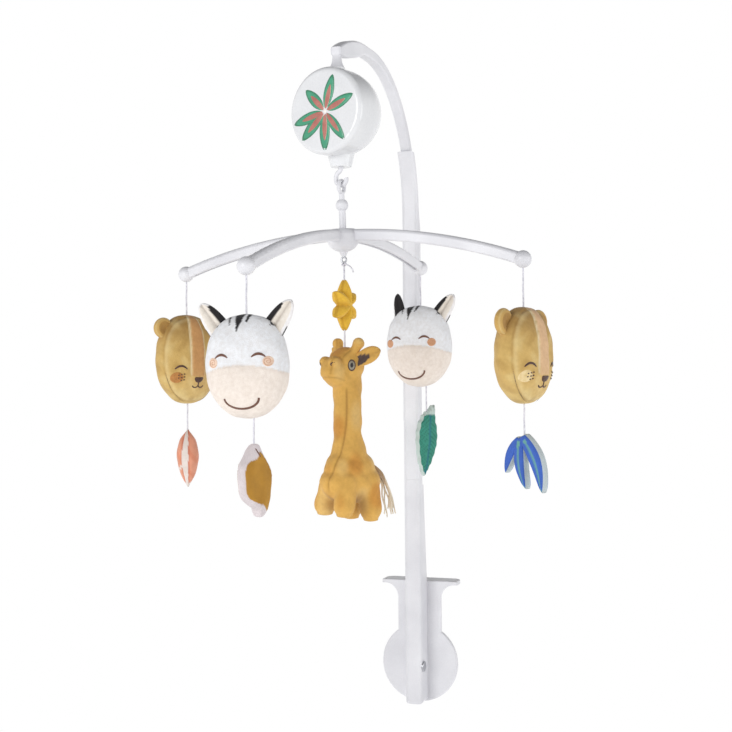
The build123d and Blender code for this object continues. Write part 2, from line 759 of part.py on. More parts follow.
def string(name, x, y, top, bottom):
    """A straight string between two heights."""
    with BuildPart() as cord:
        with BuildSketch(Plane.XY.offset(bottom)):
            with Locations((x, y)):
                Circle(string_radius)
        extrude(amount=top - bottom)
    keep(cord, name)


# Per arm: toy, its top and bottom height, width, depth, azimuth and roll.
heads = {
    "right": ("lion_head", 354.2, 274.7, 62, 40, 70.7, 0),
    "rear": ("zebra_head", 367.5, 284.5, 65, 42, 1.7, 5),
    "left": ("lion_head", 355.8, 273.4, 62, 40, 58.7, 0),
    "front": ("zebra_head", 347.4, 267.5, 65, 42, 8.7, 5),
}
# Per arm: the leaf's top and bottom height, width, depth, azimuth and how far it hangs to the right.
leaves = {
    "right": (248.5, 202, 32, 12, -23, 0),
    "rear": (262, 198.8, 26, 11, 50, 5),
    "left": (249.5, 195.3, 28, 11, 70, 0),
    "front": (247.5, 191.5, 28, 12, 70, 5),
}
ear_spot = {"lion_head": (24, 29, 16), "zebra_head": (23, 37, 17)}

for side, outward in outward_of.items():
    toy, top, bottom, width, depth, azimuth, roll = heads[side]
    leaf_top, leaf_bottom, leaf_width, leaf_depth, leaf_azimuth, aside = leaves[side]
    spot = pivot + outward * arm_reach + cross_up * (arm_level - arm_drop)
    height = top - bottom
    string(f"string_{side}", spot.X, spot.Y, spot.Z - ball_radius - 0.2, top + 0.2)
    middle = (top + bottom) / 2
    face = facing(azimuth, spot.X, spot.Y, middle, roll)
    chin_radius = width / 2 * (0.72 if toy == "zebra_head" else 0.85)
    with BuildPart() as head:
        with BuildSketch(face):
            with Locations((0, height / 2 - width / 2)):
                Circle(width / 2)
            with Locations((0, chin_radius - height / 2)):
                Circle(chin_radius)
            make_hull()
        extrude(amount=depth / 2, both=True)
        fillet(head.edges(), depth / 2 - 3)
        ear_x, ear_y, ear_size = ear_spot[toy]
        with BuildSketch(face):
            with Locations((ear_x, ear_y, 0), (-ear_x, ear_y, 0)):
                Circle(ear_size / 2)
        extrude(amount=4, both=True)
    keep(head, f"{toy}_{side}")
    aside_x = spot.X + aside * cos(radians(azimuth))
    aside_y = spot.Y + aside * sin(radians(azimuth))
    string(f"leaf_string_{side}", aside_x, aside_y, bottom - 0.2, leaf_top + 0.02)
    with BuildPart() as leaf:
        blade = facing(leaf_azimuth, aside_x, aside_y, leaf_top)
        length = leaf_top - leaf_bottom
        with BuildSketch(blade) as outline:
            with BuildLine():
                Polyline((-2, 0), (2, 0))
                ThreePointArc((2, 0), (leaf_width / 2, -length * 0.52), (2, -length))
                Line((2, -length), (-2, -length))
                ThreePointArc((-2, -length), (-leaf_width / 2, -length * 0.52), (-2, 0))
            make_face()
        extrude(amount=leaf_depth / 2, both=True)
    keep(leaf, f"leaf_{side}")

# The centre string runs through the star to the giraffe.
hang = cross_plane.from_local_coords((0, 0, eyelet_drop - eyelet_radius - eyelet_wire))
star_top, star_bottom, star_depth = 383.2, 337.6, 13
giraffe_top, giraffe_feet = 324.5, 170.3
string("centre_string", hang.X, hang.Y, hang.Z - 0.2, giraffe_top + 0.2)

with BuildPart() as star_cushion:
    star_radius = (star_top - star_bottom) / 2
    star_plane = facing(96, hang.X, hang.Y, (star_top + star_bottom) / 2)
    with BuildSketch(star_plane) as star:
        with PolarLocations(0, 6, 90):
            Polygon((0, -8), (star_radius + 2, 0), (0, 8), align=None)
        fillet(star.vertices(), 1)
    extrude(amount=star_depth / 2, both=True)
    with BuildSketch(Plane.XY.offset(star_bottom - 1)):
        with Locations((hang.X, hang.Y)):
            Circle(string_radius + split_gap)
    extrude(amount=star_top - star_bottom + 2, mode=Mode.SUBTRACT)
keep(star_cushion, "star_cushion")

giraffe_azimuth = -31
a = radians(giraffe_azimuth)
giraffe_floor = Plane(origin=(hang.X, hang.Y, giraffe_feet), x_dir=(sin(a), -cos(a), 0), z_dir=(0, 0, 1))
with BuildPart() as giraffe:
    with BuildSketch(giraffe_floor):
        with Locations((13, 13.6), (13, -13.6), (-17, 13.6), (-17, -13.6)):
            Circle(9.5)
    extrude(amount=34)
    fillet(giraffe.edges().group_by(Axis.Z)[0], 5)
    with BuildSketch(giraffe_floor.offset(26)):
        with Locations((-5, 0)):
            RectangleRounded(58, 42, 17)
    with BuildSketch(giraffe_floor.offset(48)):
        with Locations((-5, 0)):
            RectangleRounded(52, 38, 17)
    with BuildSketch(giraffe_floor.offset(82)):
        with Locations((-2, 0)):
            Circle(12.8)
    loft()
    with BuildSketch(giraffe_floor.offset(80)):
        with Locations((-2, 0)):
            Circle(12.3)
    extrude(amount=52)
    with BuildSketch(giraffe_floor.offset(118)):
        with Locations((5, 0)):
            RectangleRounded(42, 30, 13)
    extrude(amount=giraffe_top - giraffe_feet - 118)
keep(giraffe, "giraffe")

with BuildPart() as giraffe_tail:
    tail_root = giraffe_floor.from_local_coords((-33.6, 0, 50))
    tail_end = giraffe_floor.from_local_coords((-46, 4, 6))
    with BuildLine():
        run = Line(tail_root, tail_end)
    with BuildSketch(Plane(origin=run @ 0, z_dir=run % 0)):
        Circle(2)
    sweep(path=run)
keep(giraffe_tail, "giraffe_tail")
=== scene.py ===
import json
import bmesh
import bpy
import numpy as np
from math import cos, pi, radians, sin
from mathutils import Matrix, Vector
from mathutils.bvhtree import BVHTree

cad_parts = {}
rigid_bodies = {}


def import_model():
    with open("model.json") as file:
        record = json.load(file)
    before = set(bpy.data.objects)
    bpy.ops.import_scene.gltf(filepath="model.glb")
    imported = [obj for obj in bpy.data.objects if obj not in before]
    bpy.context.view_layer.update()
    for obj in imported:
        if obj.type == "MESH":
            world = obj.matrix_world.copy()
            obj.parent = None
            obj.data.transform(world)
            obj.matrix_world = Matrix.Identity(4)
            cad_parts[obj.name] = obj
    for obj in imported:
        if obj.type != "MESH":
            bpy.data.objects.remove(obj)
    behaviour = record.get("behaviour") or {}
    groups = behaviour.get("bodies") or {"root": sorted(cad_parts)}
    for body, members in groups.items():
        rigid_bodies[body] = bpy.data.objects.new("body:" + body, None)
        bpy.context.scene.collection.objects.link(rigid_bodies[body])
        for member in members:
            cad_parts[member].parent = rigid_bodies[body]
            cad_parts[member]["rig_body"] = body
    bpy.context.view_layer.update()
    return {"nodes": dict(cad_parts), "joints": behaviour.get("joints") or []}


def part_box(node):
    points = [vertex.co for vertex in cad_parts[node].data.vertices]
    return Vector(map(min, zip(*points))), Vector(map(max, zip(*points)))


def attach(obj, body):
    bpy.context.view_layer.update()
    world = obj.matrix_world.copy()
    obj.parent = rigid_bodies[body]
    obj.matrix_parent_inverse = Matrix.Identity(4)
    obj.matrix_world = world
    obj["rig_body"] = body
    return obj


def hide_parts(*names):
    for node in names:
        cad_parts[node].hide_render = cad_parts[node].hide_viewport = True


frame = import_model()
MM = 0.001
joints = {j["name"]: Vector(j["pos_m"]) for j in frame["joints"] if "pos_m" in j}
body_of = {name: node["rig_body"] for name, node in frame["nodes"].items()}

# ---------------------------------------------------------------- camera, light, floor
SPIN = Vector((0, -0.232, 0))          # foot of the line that the mobile turns about
VIEW_AZIMUTH = 18.7                    # degrees
LENS, SENSOR = 65.9, 36                # mm
CAMERA_SEAT = (0.0202, 1.170, 0.307)   # from SPIN: to the right, towards the viewer, up
CAMERA_ROLL = -0.5                     # degrees
LIT_HEIGHT = 0.33                      # what the lamps aim at, above SPIN
FLOOR_RADIUS, FLOOR_Y, FLOOR_Z = 0.75, -0.2, -0.25
FLOOR_GLOW = 0.6

right = Vector((cos(radians(VIEW_AZIMUTH)), sin(radians(VIEW_AZIMUTH)), 0))
towards = Vector((sin(radians(VIEW_AZIMUTH)), -cos(radians(VIEW_AZIMUTH)), 0))
camera_data = bpy.data.cameras.new("camera")
camera_data.lens = LENS
camera_data.sensor_width = SENSOR
camera = bpy.data.objects.new("camera", camera_data)
bpy.context.scene.collection.objects.link(camera)
place = SPIN + right * CAMERA_SEAT[0] + towards * CAMERA_SEAT[1] + Vector((0, 0, CAMERA_SEAT[2]))
turn = Matrix((right, Vector((0, 0, 1)), towards)).transposed()
roll = Matrix.Rotation(radians(CAMERA_ROLL), 4, "Z")
camera.matrix_world = Matrix.Translation(place) @ turn.to_4x4() @ roll
bpy.context.scene.camera = camera
bpy.context.scene.view_settings.view_transform = "Standard"

world = bpy.data.worlds.new("world")
bpy.context.scene.world = world
world.use_nodes = True
sky = world.node_tree.nodes
direction = sky.new("ShaderNodeTexCoord")
split = sky.new("ShaderNodeSeparateXYZ")
fade = sky.new("ShaderNodeValToRGB")
fade.color_ramp.elements[0].position = 0.3
fade.color_ramp.elements[0].color = (1, 1, 1, 1)
fade.color_ramp.elements[1].position = 0.6
fade.color_ramp.elements[1].color = (0.05, 0.05, 0.055, 1)
for a, b in ((direction.outputs["Generated"], split.inputs[0]), (split.outputs["Z"], fade.inputs[0]),
             (fade.outputs[0], sky["Background"].inputs[0])):
    world.node_tree.links.new(a, b)
sky["Background"].inputs[1].default_value = 1.0


def lamp(name, offset, size, power):
    """A soft square light, aimed at the middle of the mobile."""
    data = bpy.data.lights.new(name, "AREA")
    data.size, data.energy = size, power
    made = bpy.data.objects.new(name, data)
    bpy.context.scene.collection.objects.link(made)
    middle = SPIN + Vector((0, 0, LIT_HEIGHT))
    made.location = middle + right * offset[0] + towards * offset[1] + Vector((0, 0, offset[2]))
    made.rotation_euler = (middle - made.location).to_track_quat("-Z", "Y").to_euler()


lamp("key_light", (-1.1, 1.4, 0.3), 0.9, 13)
lamp("side_light", (1.4, 0.5, 0.15), 0.8, 5)


# ---------------------------------------------------------------- materials
def rgb(code):
    """Linear colour of a six-digit hex code."""
    levels = np.array([int(code[at:at + 2], 16) for at in (1, 3, 5)]) / 255
    return tuple(np.where(levels <= 0.04045, levels / 12.92, ((levels + 0.055) / 1.055) ** 2.4)) + (1.0,)


def surface(name, dark, light=None, rough=0.5, metal=0.0, sheen=0.0, coat=0.0, broad=50, grain=900,
            bump=0.2, depth=0.0002, painted=False, wave=0):
    """A material whose colour wanders between two tones, over a grain that stands up as bump.
    painted takes the colour from the mesh and only shades it; wave lays parallel threads over the grain."""
    material = bpy.data.materials.new(name)
    material.use_nodes = True
    nodes, link = material.node_tree.nodes, material.node_tree.links.new
    shader = nodes["Principled BSDF"]
    for socket, value in (("Roughness", rough), ("Metallic", metal), ("Sheen Weight", sheen),
                          ("Coat Weight", coat)):
        shader.inputs[socket].default_value = value
    if sheen:
        shader.inputs["Sheen Roughness"].default_value = 0.45
    if coat:
        shader.inputs["Coat Roughness"].default_value = 0.12
    where = nodes.new("ShaderNodeTexCoord").outputs["Object"]

    def noise(scale, detail):
        texture = nodes.new("ShaderNodeTexNoise")
        texture.inputs["Scale"].default_value = scale
        texture.inputs["Detail"].default_value = detail
        link(where, texture.inputs["Vector"])
        return texture.outputs["Fac"]

    wide, fine = noise(broad, 3), noise(grain, 4)
    both = nodes.new("ShaderNodeMath")
    both.operation = "MULTIPLY_ADD"
    link(fine, both.inputs[0])
    both.inputs[1].default_value = 0.5
    link(wide, both.inputs[2])
    ramp = nodes.new("ShaderNodeValToRGB")
    ramp.color_ramp.elements[0].position, ramp.color_ramp.elements[1].position = 0.5, 1.0
    link(both.outputs[0], ramp.inputs[0])
    if painted:
        ramp.color_ramp.elements[0].color = rgb(dark)
        ramp.color_ramp.elements[1].color = (1, 1, 1, 1)
        paint = nodes.new("ShaderNodeAttribute")
        paint.attribute_name = "paint"
        mix = nodes.new("ShaderNodeMix")
        mix.data_type, mix.blend_type = "RGBA", "MULTIPLY"
        mix.inputs[0].default_value = 1
        link(paint.outputs["Color"], mix.inputs[6])
        link(ramp.outputs[0], mix.inputs[7])
        link(mix.outputs[2], shader.inputs["Base Color"])
    else:
        ramp.color_ramp.elements[0].color = rgb(dark)
        ramp.color_ramp.elements[1].color = rgb(light or dark)
        link(ramp.outputs[0], shader.inputs["Base Color"])
    height = fine
    if wave:
        threads = nodes.new("ShaderNodeTexWave")
        threads.bands_direction = "DIAGONAL"
        threads.inputs["Scale"].default_value = wave
        threads.inputs["Distortion"].default_value = 1.5
        link(where, threads.inputs["Vector"])
        height = threads.outputs["Fac"]
    lift = nodes.new("ShaderNodeBump")
    lift.inputs["Strength"].default_value = bump
    lift.inputs["Distance"].default_value = depth
    link(height, lift.inputs["Height"])
    link(lift.outputs[0], shader.inputs["Normal"])
    return material


velour = surface("velour", "#F0EDEA", rough=0.92, sheen=0.12, broad=320, grain=1700, bump=0.8,
                 depth=0.0006, painted=True)
cotton = surface("cotton", "#E8E6E4", rough=0.9, sheen=0.15, broad=90, grain=1900, bump=0.35,
                 depth=0.0003, painted=True)
finishes = {
    "white_plastic": ("#D0D0D5", "#E2E2E6", dict(rough=0.36, broad=25, grain=1400, bump=0.03)),
    "drum_plastic": ("#D2D3D6", "#E2E3E5", dict(rough=0.16, coat=0.4, broad=20, grain=700, bump=0.03)),
    "knob_plastic": ("#CFCFD3", "#E4E4E7", dict(rough=0.42, broad=40, grain=1200, bump=0.12)),
    "pad_rubber": ("#77777B", "#939397", dict(rough=0.8, broad=60, grain=1600, bump=0.4)),
    "steel": ("#9A9BA0", "#C4C5C9", dict(rough=0.3, metal=1, broad=120, grain=2500, bump=0.12)),
    "brass": ("#A9853C", "#D3B066", dict(rough=0.28, metal=1, broad=120, grain=2200, bump=0.12)),
    "zinc": ("#8A8C90", "#AFB1B5", dict(rough=0.5, metal=1, broad=90, grain=1800, bump=0.25)),
    "string": ("#C6C5D0", "#F0EFF5",
               dict(rough=0.85, sheen=0.2, broad=300, bump=0.8, depth=0.0003, wave=450)),
}
finish = {name: surface(name, dark, light, **look) for name, (dark, light, look) in finishes.items()}
threads = {
    "brown": ("#3A2018", "#5C3A2C"), "hazel": ("#5A3626", "#7C5240"), "peach": ("#E3BFA4", "#F6DCC8"),
    "tan": ("#C68F68", "#E0AC86"), "orange": ("#A06A2C", "#C98A46"), "pale": ("#D6B878", "#EDD6A4"),
    "black": ("#1C1A1C", "#343034"), "iris": ("#7F7A6C", "#B4AF9F"),
}
thread = {name: surface("thread_" + name, dark, light, rough=0.6, sheen=0.3, broad=300, bump=0.7,
                        depth=0.0003, wave=500) for name, (dark, light) in threads.items()}
plain_nodes = {"jaw_pad": "pad_rubber", "clamp_knob": "knob_plastic", "music_box_front": "drum_plastic",
               "music_box_back": "drum_plastic", "clamp_bolt": "steel", "bolt_retainer_pin": "steel",
               "box_screws": "steel", "spindle_bush": "white_plastic", "movement_plate": "zinc",
               "movement_bridge": "zinc", "spring_barrel": "brass", "mainspring": "steel",
               "barrel_arbor": "steel", "winding_key": "white_plastic", "pin_cylinder": "brass",
               "tone_comb": "steel", "comb_screws": "steel", "idler_wheel": "brass", "governor": "brass",
               "hub_eyelet": "steel"}
for node_name, node in frame["nodes"].items():
    node.data.materials.clear()
    slot_name = plain_nodes.get(node_name, "string" if "string" in node_name else "white_plastic")
    node.data.materials.append(finish[slot_name])

floor_mesh = bpy.data.meshes.new("floor")
rim = [(FLOOR_RADIUS * cos(2 * pi * i / 96), FLOOR_RADIUS * sin(2 * pi * i / 96) + FLOOR_Y, FLOOR_Z)
       for i in range(96)]
floor_mesh.from_pydata(rim, [], [list(range(96))])
floor_object = bpy.data.objects.new("floor", floor_mesh)
bpy.context.scene.collection.objects.link(floor_object)
floor_look = surface("floor", "#EDEDED", "#F6F6F6", rough=0.9, broad=4, grain=60, bump=0.05)
floor_shader = floor_look.node_tree.nodes["Principled BSDF"]
floor_shader.inputs["Emission Color"].default_value = (1, 1, 1, 1)
floor_shader.inputs["Emission Strength"].default_value = FLOOR_GLOW
floor_mesh.materials.append(floor_look)


# ---------------------------------------------------------------- mesh helpers
def facing(azimuth, at, roll=0):
    """Frame in mm: x across the face, y up, z out of it."""
    turn, lean = radians(azimuth), radians(roll)
    x = Vector((cos(turn) * cos(lean), sin(turn) * cos(lean), sin(lean)))
    z = Vector((sin(turn), -cos(turn), 0))
    seat = Matrix((x, z.cross(x), z)).transposed().to_4x4()
    seat.translation = at
    return seat


def piece(name, points, faces, body, look, matrix=None, paint=None, slot=None, smooth=True):
    """A mesh from points in mm in the matrix's own frame, riding on a body."""
    points = np.asarray(points, float)
    if matrix is not None:
        rotation = np.array(matrix.to_3x3())
        points = points * MM @ rotation.T + np.array(matrix.translation)
    else:
        points = points * MM
    mesh = bpy.data.meshes.new(name)
    mesh.from_pydata(points.tolist(), [], [list(face) for face in faces])
    if paint is not None:
        colours = mesh.attributes.new("paint", "FLOAT_COLOR", "POINT")
        colours.data.foreach_set("color", np.asarray(paint, np.float32).ravel())
    build = bmesh.new()
    build.from_mesh(mesh)
    bmesh.ops.remove_doubles(build, verts=build.verts, dist=2e-6)
    bmesh.ops.dissolve_degenerate(build, edges=build.edges, dist=1e-6)
    bmesh.ops.recalc_face_normals(build, faces=build.faces)
    build.to_mesh(mesh)
    build.free()
    mesh.materials.append(look)
    if smooth:
        mesh.shade_smooth()
    made = bpy.data.objects.new(name, mesh)
    bpy.context.scene.collection.objects.link(made)
    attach(made, body)
    return made


def ball(level):
    """Points and faces of a round ball of radius 1."""
    build = bmesh.new()
    bmesh.ops.create_icosphere(build, subdivisions=level, radius=1)
    points = np.array([vertex.co for vertex in build.verts])
    faces = [[vertex.index for vertex in face.verts] for face in build.faces]
    build.free()
    return points, faces


def step(x, low, high):
    """Rises smoothly from 0 at low to 1 at high."""
    share = np.clip((x - low) / (high - low), 0, 1)
    return share * share * (3 - 2 * share)


def inside(x, y, outline):
    """Whether each point lies in a closed outline."""
    hit = np.zeros(x.shape, bool)
    for (ax, ay), (bx, by) in zip(outline, outline[1:] + outline[:1]):
        if ay != by:
            hit ^= ((ay > y) != (by > y)) & (x < (bx - ax) * (y - ay) / (by - ay) + ax)
    return hit


def smooth_loop(points, per_side=8, closed=True):
    """Points along a Catmull-Rom curve through the given ones."""
    knots = np.asarray(points, float)
    count = len(knots)
    out = []
    for i in range(count if closed else count - 1):
        near = (i - 1, i, i + 1, i + 2)
        a, b, c, d = (knots[k % count if closed else min(max(k, 0), count - 1)] for k in near)
        for share in np.arange(per_side) / per_side:
            out.append(0.5 * (2 * b + (c - a) * share + (2 * a - 5 * b + 4 * c - d) * share * share
                              + (3 * b - a - 3 * c + d) * share ** 3))
    if not closed:
        out.append(knots[-1])
    return np.array(out)


def pillow(outline, spine, depth, boxy=0.8, rings=26):
    """A stuffed shape with that outline, fullest along its spine.
    Returns its points, its faces, and how far out towards the outline each point is."""
    outline, spine = np.asarray(outline, float), np.asarray(spine, float)
    best, core = np.full(len(outline), 1e9), np.zeros_like(outline)
    for a, b in zip(spine[:-1], spine[1:]):
        share = np.clip(((outline - a) @ (b - a)) / ((b - a) @ (b - a)), 0, 1)
        nearest = a + share[:, None] * (b - a)
        distance = np.linalg.norm(outline - nearest, axis=1)
        core[distance < best], best = nearest[distance < best], np.minimum(best, distance)
    points, reach = [], []
    for ring in range(rings + 1):
        share = pi * ring / rings
        out = abs(sin(share)) ** boxy
        z = depth / 2 * np.sign(cos(share)) * abs(cos(share)) ** boxy
        points.append(np.column_stack([core + (outline - core) * out, np.full(len(outline), z)]))
        reach += [out] * len(outline)
    count = len(outline)
    faces = [[ring * count + i, ring * count + (i + 1) % count,
              (ring + 1) * count + (i + 1) % count, (ring + 1) * count + i]
             for ring in range(rings) for i in range(count)]
    return np.vstack(points), faces, np.array(reach)


def tube(path, radius, sides=10, taper=None):
    """A round rod along points, closed at both ends."""
    path = np.asarray(path, float)
    along = np.gradient(path, axis=0)
    along /= np.linalg.norm(along, axis=1)[:, None]
    up = np.array((0, 0, 1.0)) if abs(along[0, 2]) < 0.9 else np.array((1.0, 0, 0))
    points, faces = [], []
    for i, (centre, ahead) in enumerate(zip(path, along)):
        aside = np.cross(ahead, up)
        aside /= np.linalg.norm(aside)
        beyond = np.cross(ahead, aside)
        reach = radius * (taper(i / (len(path) - 1)) if taper else 1)
        points += [centre + reach * (cos(turn) * aside + sin(turn) * beyond)
                   for turn in np.arange(sides) * 2 * pi / sides]
    for i in range(len(path) - 1):
        faces += [[i * sides + j, i * sides + (j + 1) % sides, (i + 1) * sides + (j + 1) % sides,
                   (i + 1) * sides + j] for j in range(sides)]
    faces += [list(range(sides)), [(len(path) - 1) * sides + j for j in range(sides)]]
    return points, faces


def joined(parts):
    """Several sets of points and faces as one."""
    points, faces = [], []
    for more_points, more_faces in parts:
        faces += [[i + len(points) for i in face] for face in more_faces]
        points += [tuple(point) for point in more_points]
    return points, faces


class Face:
    """The front of a modelled shape, in mm in its own frame, that stitching is laid on."""

    def __init__(self, points, faces):
        self.tree = BVHTree.FromPolygons([Vector(p) for p in points], faces)

    def on(self, x, y, lift=0.0):
        """The point of the front above x, y; past its edge it lies in the middle plane."""
        hit = self.tree.ray_cast(Vector((x, y, 200)), Vector((0, 0, -1)))
        return (x, y, (hit[0].z if hit[0] else 0) + lift)

    def stroke(self, line, width, lift=0.5, taper=False):
        """A raised satin-stitch line."""
        line = np.asarray(line, float)
        d = np.gradient(line, axis=0)
        d /= np.linalg.norm(d, axis=1)[:, None]
        points, faces = [], []
        across = ((-0.5, -0.35), (-0.35, 0.75), (0, 1), (0.35, 0.75), (0.5, -0.35))
        for i, (p, t) in enumerate(zip(line, d)):
            w = width * (sin(pi * (0.06 + 0.88 * i / (len(line) - 1))) ** 0.6 if taper else 1)
            for s, h in across:
                points.append(self.on(p[0] - t[1] * s * w, p[1] + t[0] * s * w, h * lift))
        n = len(across)
        for i in range(len(line) - 1):
            faces += [[i * n + j, i * n + j + 1, (i + 1) * n + j + 1, (i + 1) * n + j] for j in range(n - 1)]
            faces.append([i * n + n - 1, i * n, (i + 1) * n, (i + 1) * n + n - 1])
        faces += [list(range(n)), [(len(line) - 1) * n + j for j in range(n)]]
        return points, faces

    def patch(self, outline, lift=0.5, rings=7):
        """A raised filled patch, for outlines that are seen whole from their middle."""
        outline = np.asarray(outline, float)
        middle, n = outline.mean(0), len(outline)
        points, faces = [], []
        for k in range(rings + 1):
            s = 1 - k / rings
            h = -0.35 if k == 0 else lift * min(1, 0.55 + 0.45 * (1 - s))
            points += [self.on(*(middle + (q - middle) * s), h) for q in outline]
        for k in range(rings):
            faces += [[k * n + i, k * n + (i + 1) % n, (k + 1) * n + (i + 1) % n, (k + 1) * n + i]
                      for i in range(n)]
        return points, faces


def arc(cx, cy, half, rise, count=15):
    """Points of a low arch, highest in its middle."""
    x = np.linspace(-half, half, count)
    return np.column_stack([cx + x, cy + rise * (1 - (x / half) ** 2) - rise / 2])


def disc(cx, cy, radius, count=28):
    """Points round a circle."""
    turn = np.arange(count) * 2 * pi / count
    return np.column_stack([cx + radius * np.cos(turn), cy + radius * np.sin(turn)])


def fill(count, code):
    """One colour for each of n points."""
    return np.tile(np.array(rgb(code)), (count, 1))


def tint(paint, weight, code):
    """Blends a colour in where the weight is above nothing."""
    amount = np.clip(np.asarray(weight, float), 0, 1)[:, None]
    paint[:] = paint * (1 - amount) + np.array(rgb(code)) * amount


def ripple(points, size, wide):
    """Small hand-made unevenness of stuffed fabric."""
    x, y, z = points.T / wide
    broad = np.sin(x * 1.9 + y * 1.3 + 0.6) * np.cos(y * 2.1 - z * 1.7)
    return size * (broad + 0.5 * np.sin(x * 4.1 - z * 3.3 + 1.1))


# ---------------------------------------------------------------- printed leaf star on the drum
DRUM_AZIMUTH, DRUM_HEIGHT = -16, 0.527
PRINT_REACH = 37.2  # mm from the drum's middle, where the blades are cut off
drum = facing(DRUM_AZIMUTH, SPIN + Vector((0, 0, DRUM_HEIGHT)))
drum_mesh = frame["nodes"]["music_box_front"].data
local = drum.inverted()
drum_face = Face([(local @ vertex.co) / MM for vertex in drum_mesh.vertices],
                 [list(polygon.vertices) for polygon in drum_mesh.polygons])


def leaf_blade(middle, angle, length, width, share, start=0.0):
    """Outline of a slender pointed leaf that grows from the middle of the print."""
    turn = radians(angle)
    share_along = np.linspace(start, 1, 22)
    half = width * 0.68 * share * np.sin(pi * share_along ** 0.9) ** 0.62
    side = np.concatenate([np.column_stack([share_along * length * (0.5 + share / 2), half]),
                           np.column_stack([share_along * length * (0.5 + share / 2), -half])[::-1][1:-1]])
    turned = np.column_stack([side[:, 0] * cos(turn) - side[:, 1] * sin(turn),
                              side[:, 0] * sin(turn) + side[:, 1] * cos(turn)])
    turned += middle
    reach = np.hypot(turned[:, 0], turned[:, 1])
    return turned * np.minimum(1, PRINT_REACH / np.maximum(reach, 1e-6))[:, None]


prints = {name: surface("print_" + name, dark, light, rough=0.22, coat=0.4, broad=90, grain=900, bump=0.03)
          for name, dark, light in (("outline", "#256B4E", "#34805F"), ("green", "#2E8563", "#3E9E7A"),
                                    ("middle", "#A0584E", "#BC7A6C"), ("point", "#EDE4DA", "#F4EEE8"))}
star_middle = np.array((1.4, -1.2))
blades = ((75.5, 34.5, 9), (135.4, 31.5, 9), (193.6, 38, 8.5), (221.7, 37, 9.5), (268, 37.4, 9.5),
          (307, 35.5, 8), (22, 34, 8.5))
for look, share, lift in (("outline", 1.0, 0.06), ("green", 0.84, 0.12), ("middle", 0.46, 0.18)):
    parts = []
    for angle, length, width in blades:
        outline = leaf_blade(star_middle, angle, length, width, share, 0.02)
        parts.append(drum_face.patch(outline, lift, 6))
    piece("print_leaf_" + look, *joined(parts), "stand", prints[look], drum, slot="drum_plastic")
print_point = drum_face.patch(disc(*star_middle, 1.7), 0.25, 4)
piece("print_centre", *print_point, "stand", prints["point"], drum, slot="drum_plastic")


# ---------------------------------------------------------------- strings
CORD_DIAMETER = 0.0015
CORD_LEAST = 0.0312     # the shortest that a string is made
CORD_OVERLAP = 0.003    # how far an end runs past its CAD string
EYELET_GAP = 0.0004     # the centre string's top end stays this far below its CAD string's


def cord(name, top, bottom, body, waver=0.25):
    """A taut string, run a little way into what it hangs from and what hangs on it."""
    curve = bpy.data.curves.new(name, "CURVE")
    curve.dimensions = "3D"
    curve.bevel_depth, curve.bevel_resolution, curve.resolution_u = CORD_DIAMETER / 2, 4, 12
    spline = curve.splines.new("NURBS")
    spline.points.add(4)
    for i, point in enumerate(spline.points):
        share = i / 4
        sway = Vector((waver * sin(3 * pi * share + top.x * 40), waver * 0.6 * sin(2 * pi * share), 0)) * MM
        point.co = (*(top.lerp(bottom, share) + sway * (1 if 0 < i < 4 else 0)), 1)
    spline.order_u = 3
    spline.use_endpoint_u = True
    made = bpy.data.objects.new(name, curve)
    bpy.context.scene.collection.objects.link(made)
    curve.materials.append(finish["string"])
    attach(made, body)
    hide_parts(name)


for name in [n for n in frame["nodes"] if "string" in n]:
    low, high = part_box(name)
    middle = (low + high) / 2
    above = below = max(CORD_OVERLAP, (CORD_LEAST - (high.z - low.z)) / 2)
    if name == "centre_string":
        above, below = -EYELET_GAP, CORD_OVERLAP
    cord(name, Vector((middle.x, middle.y, high.z + above)), Vector((middle.x, middle.y, low.z - below)),
         body_of[name])


# ---------------------------------------------------------------- heads
def head_base(size, boxy, chin):
    """A boxy ball that narrows towards its chin. Returns points, faces and the way out at each point."""
    outward, faces = ball(6)
    outward = outward * ((abs(outward) ** boxy).sum(1) ** (-1 / boxy))[:, None]
    points = outward * np.array(size) / 2
    points[:, 0] *= 1 - chin * np.clip(-outward[:, 1], 0, 1) ** 2
    return points, faces, outward


def round_ear(name, body, matrix, side, tone, paint_code, at, size):
    """A round cushion, dished in front and nipped in where it is sewn on."""
    turn = np.arange(40) * 2 * pi / 40
    outline = np.column_stack([np.cos(turn) * 9.8, np.sin(turn) * 9.4])
    outline[:, 1] -= 4.0 * np.exp(-((turn - 1.5 * pi) / 0.45) ** 2)
    points, faces, reach = pillow(outline, [(0, -0.5), (0, 0.5)], 8.5, 0.9, 22)
    dish = 2.4 * np.exp(-((np.hypot(points[:, 0], points[:, 1] + 1) / 4.5) ** 2))
    points[:, 2] -= np.where(points[:, 2] > 0, dish, 0)
    paint = fill(len(points), paint_code)
    tint(paint, (reach < 0.62) & (points[:, 2] > 0), tone)
    tint(paint, np.exp(-((reach - 0.9) / 0.05) ** 2) * (points[:, 2] > 0) * 0.5, "#E2CE96")
    points = points * size
    tilt = Matrix.Translation((side * at[0] * MM, at[1] * MM, at[2] * MM))
    tilt = tilt @ Matrix.Rotation(radians(-side * 28), 4, "Z")
    ear = piece(name, points, faces, body, velour, matrix @ tilt, paint, "lion_velour")


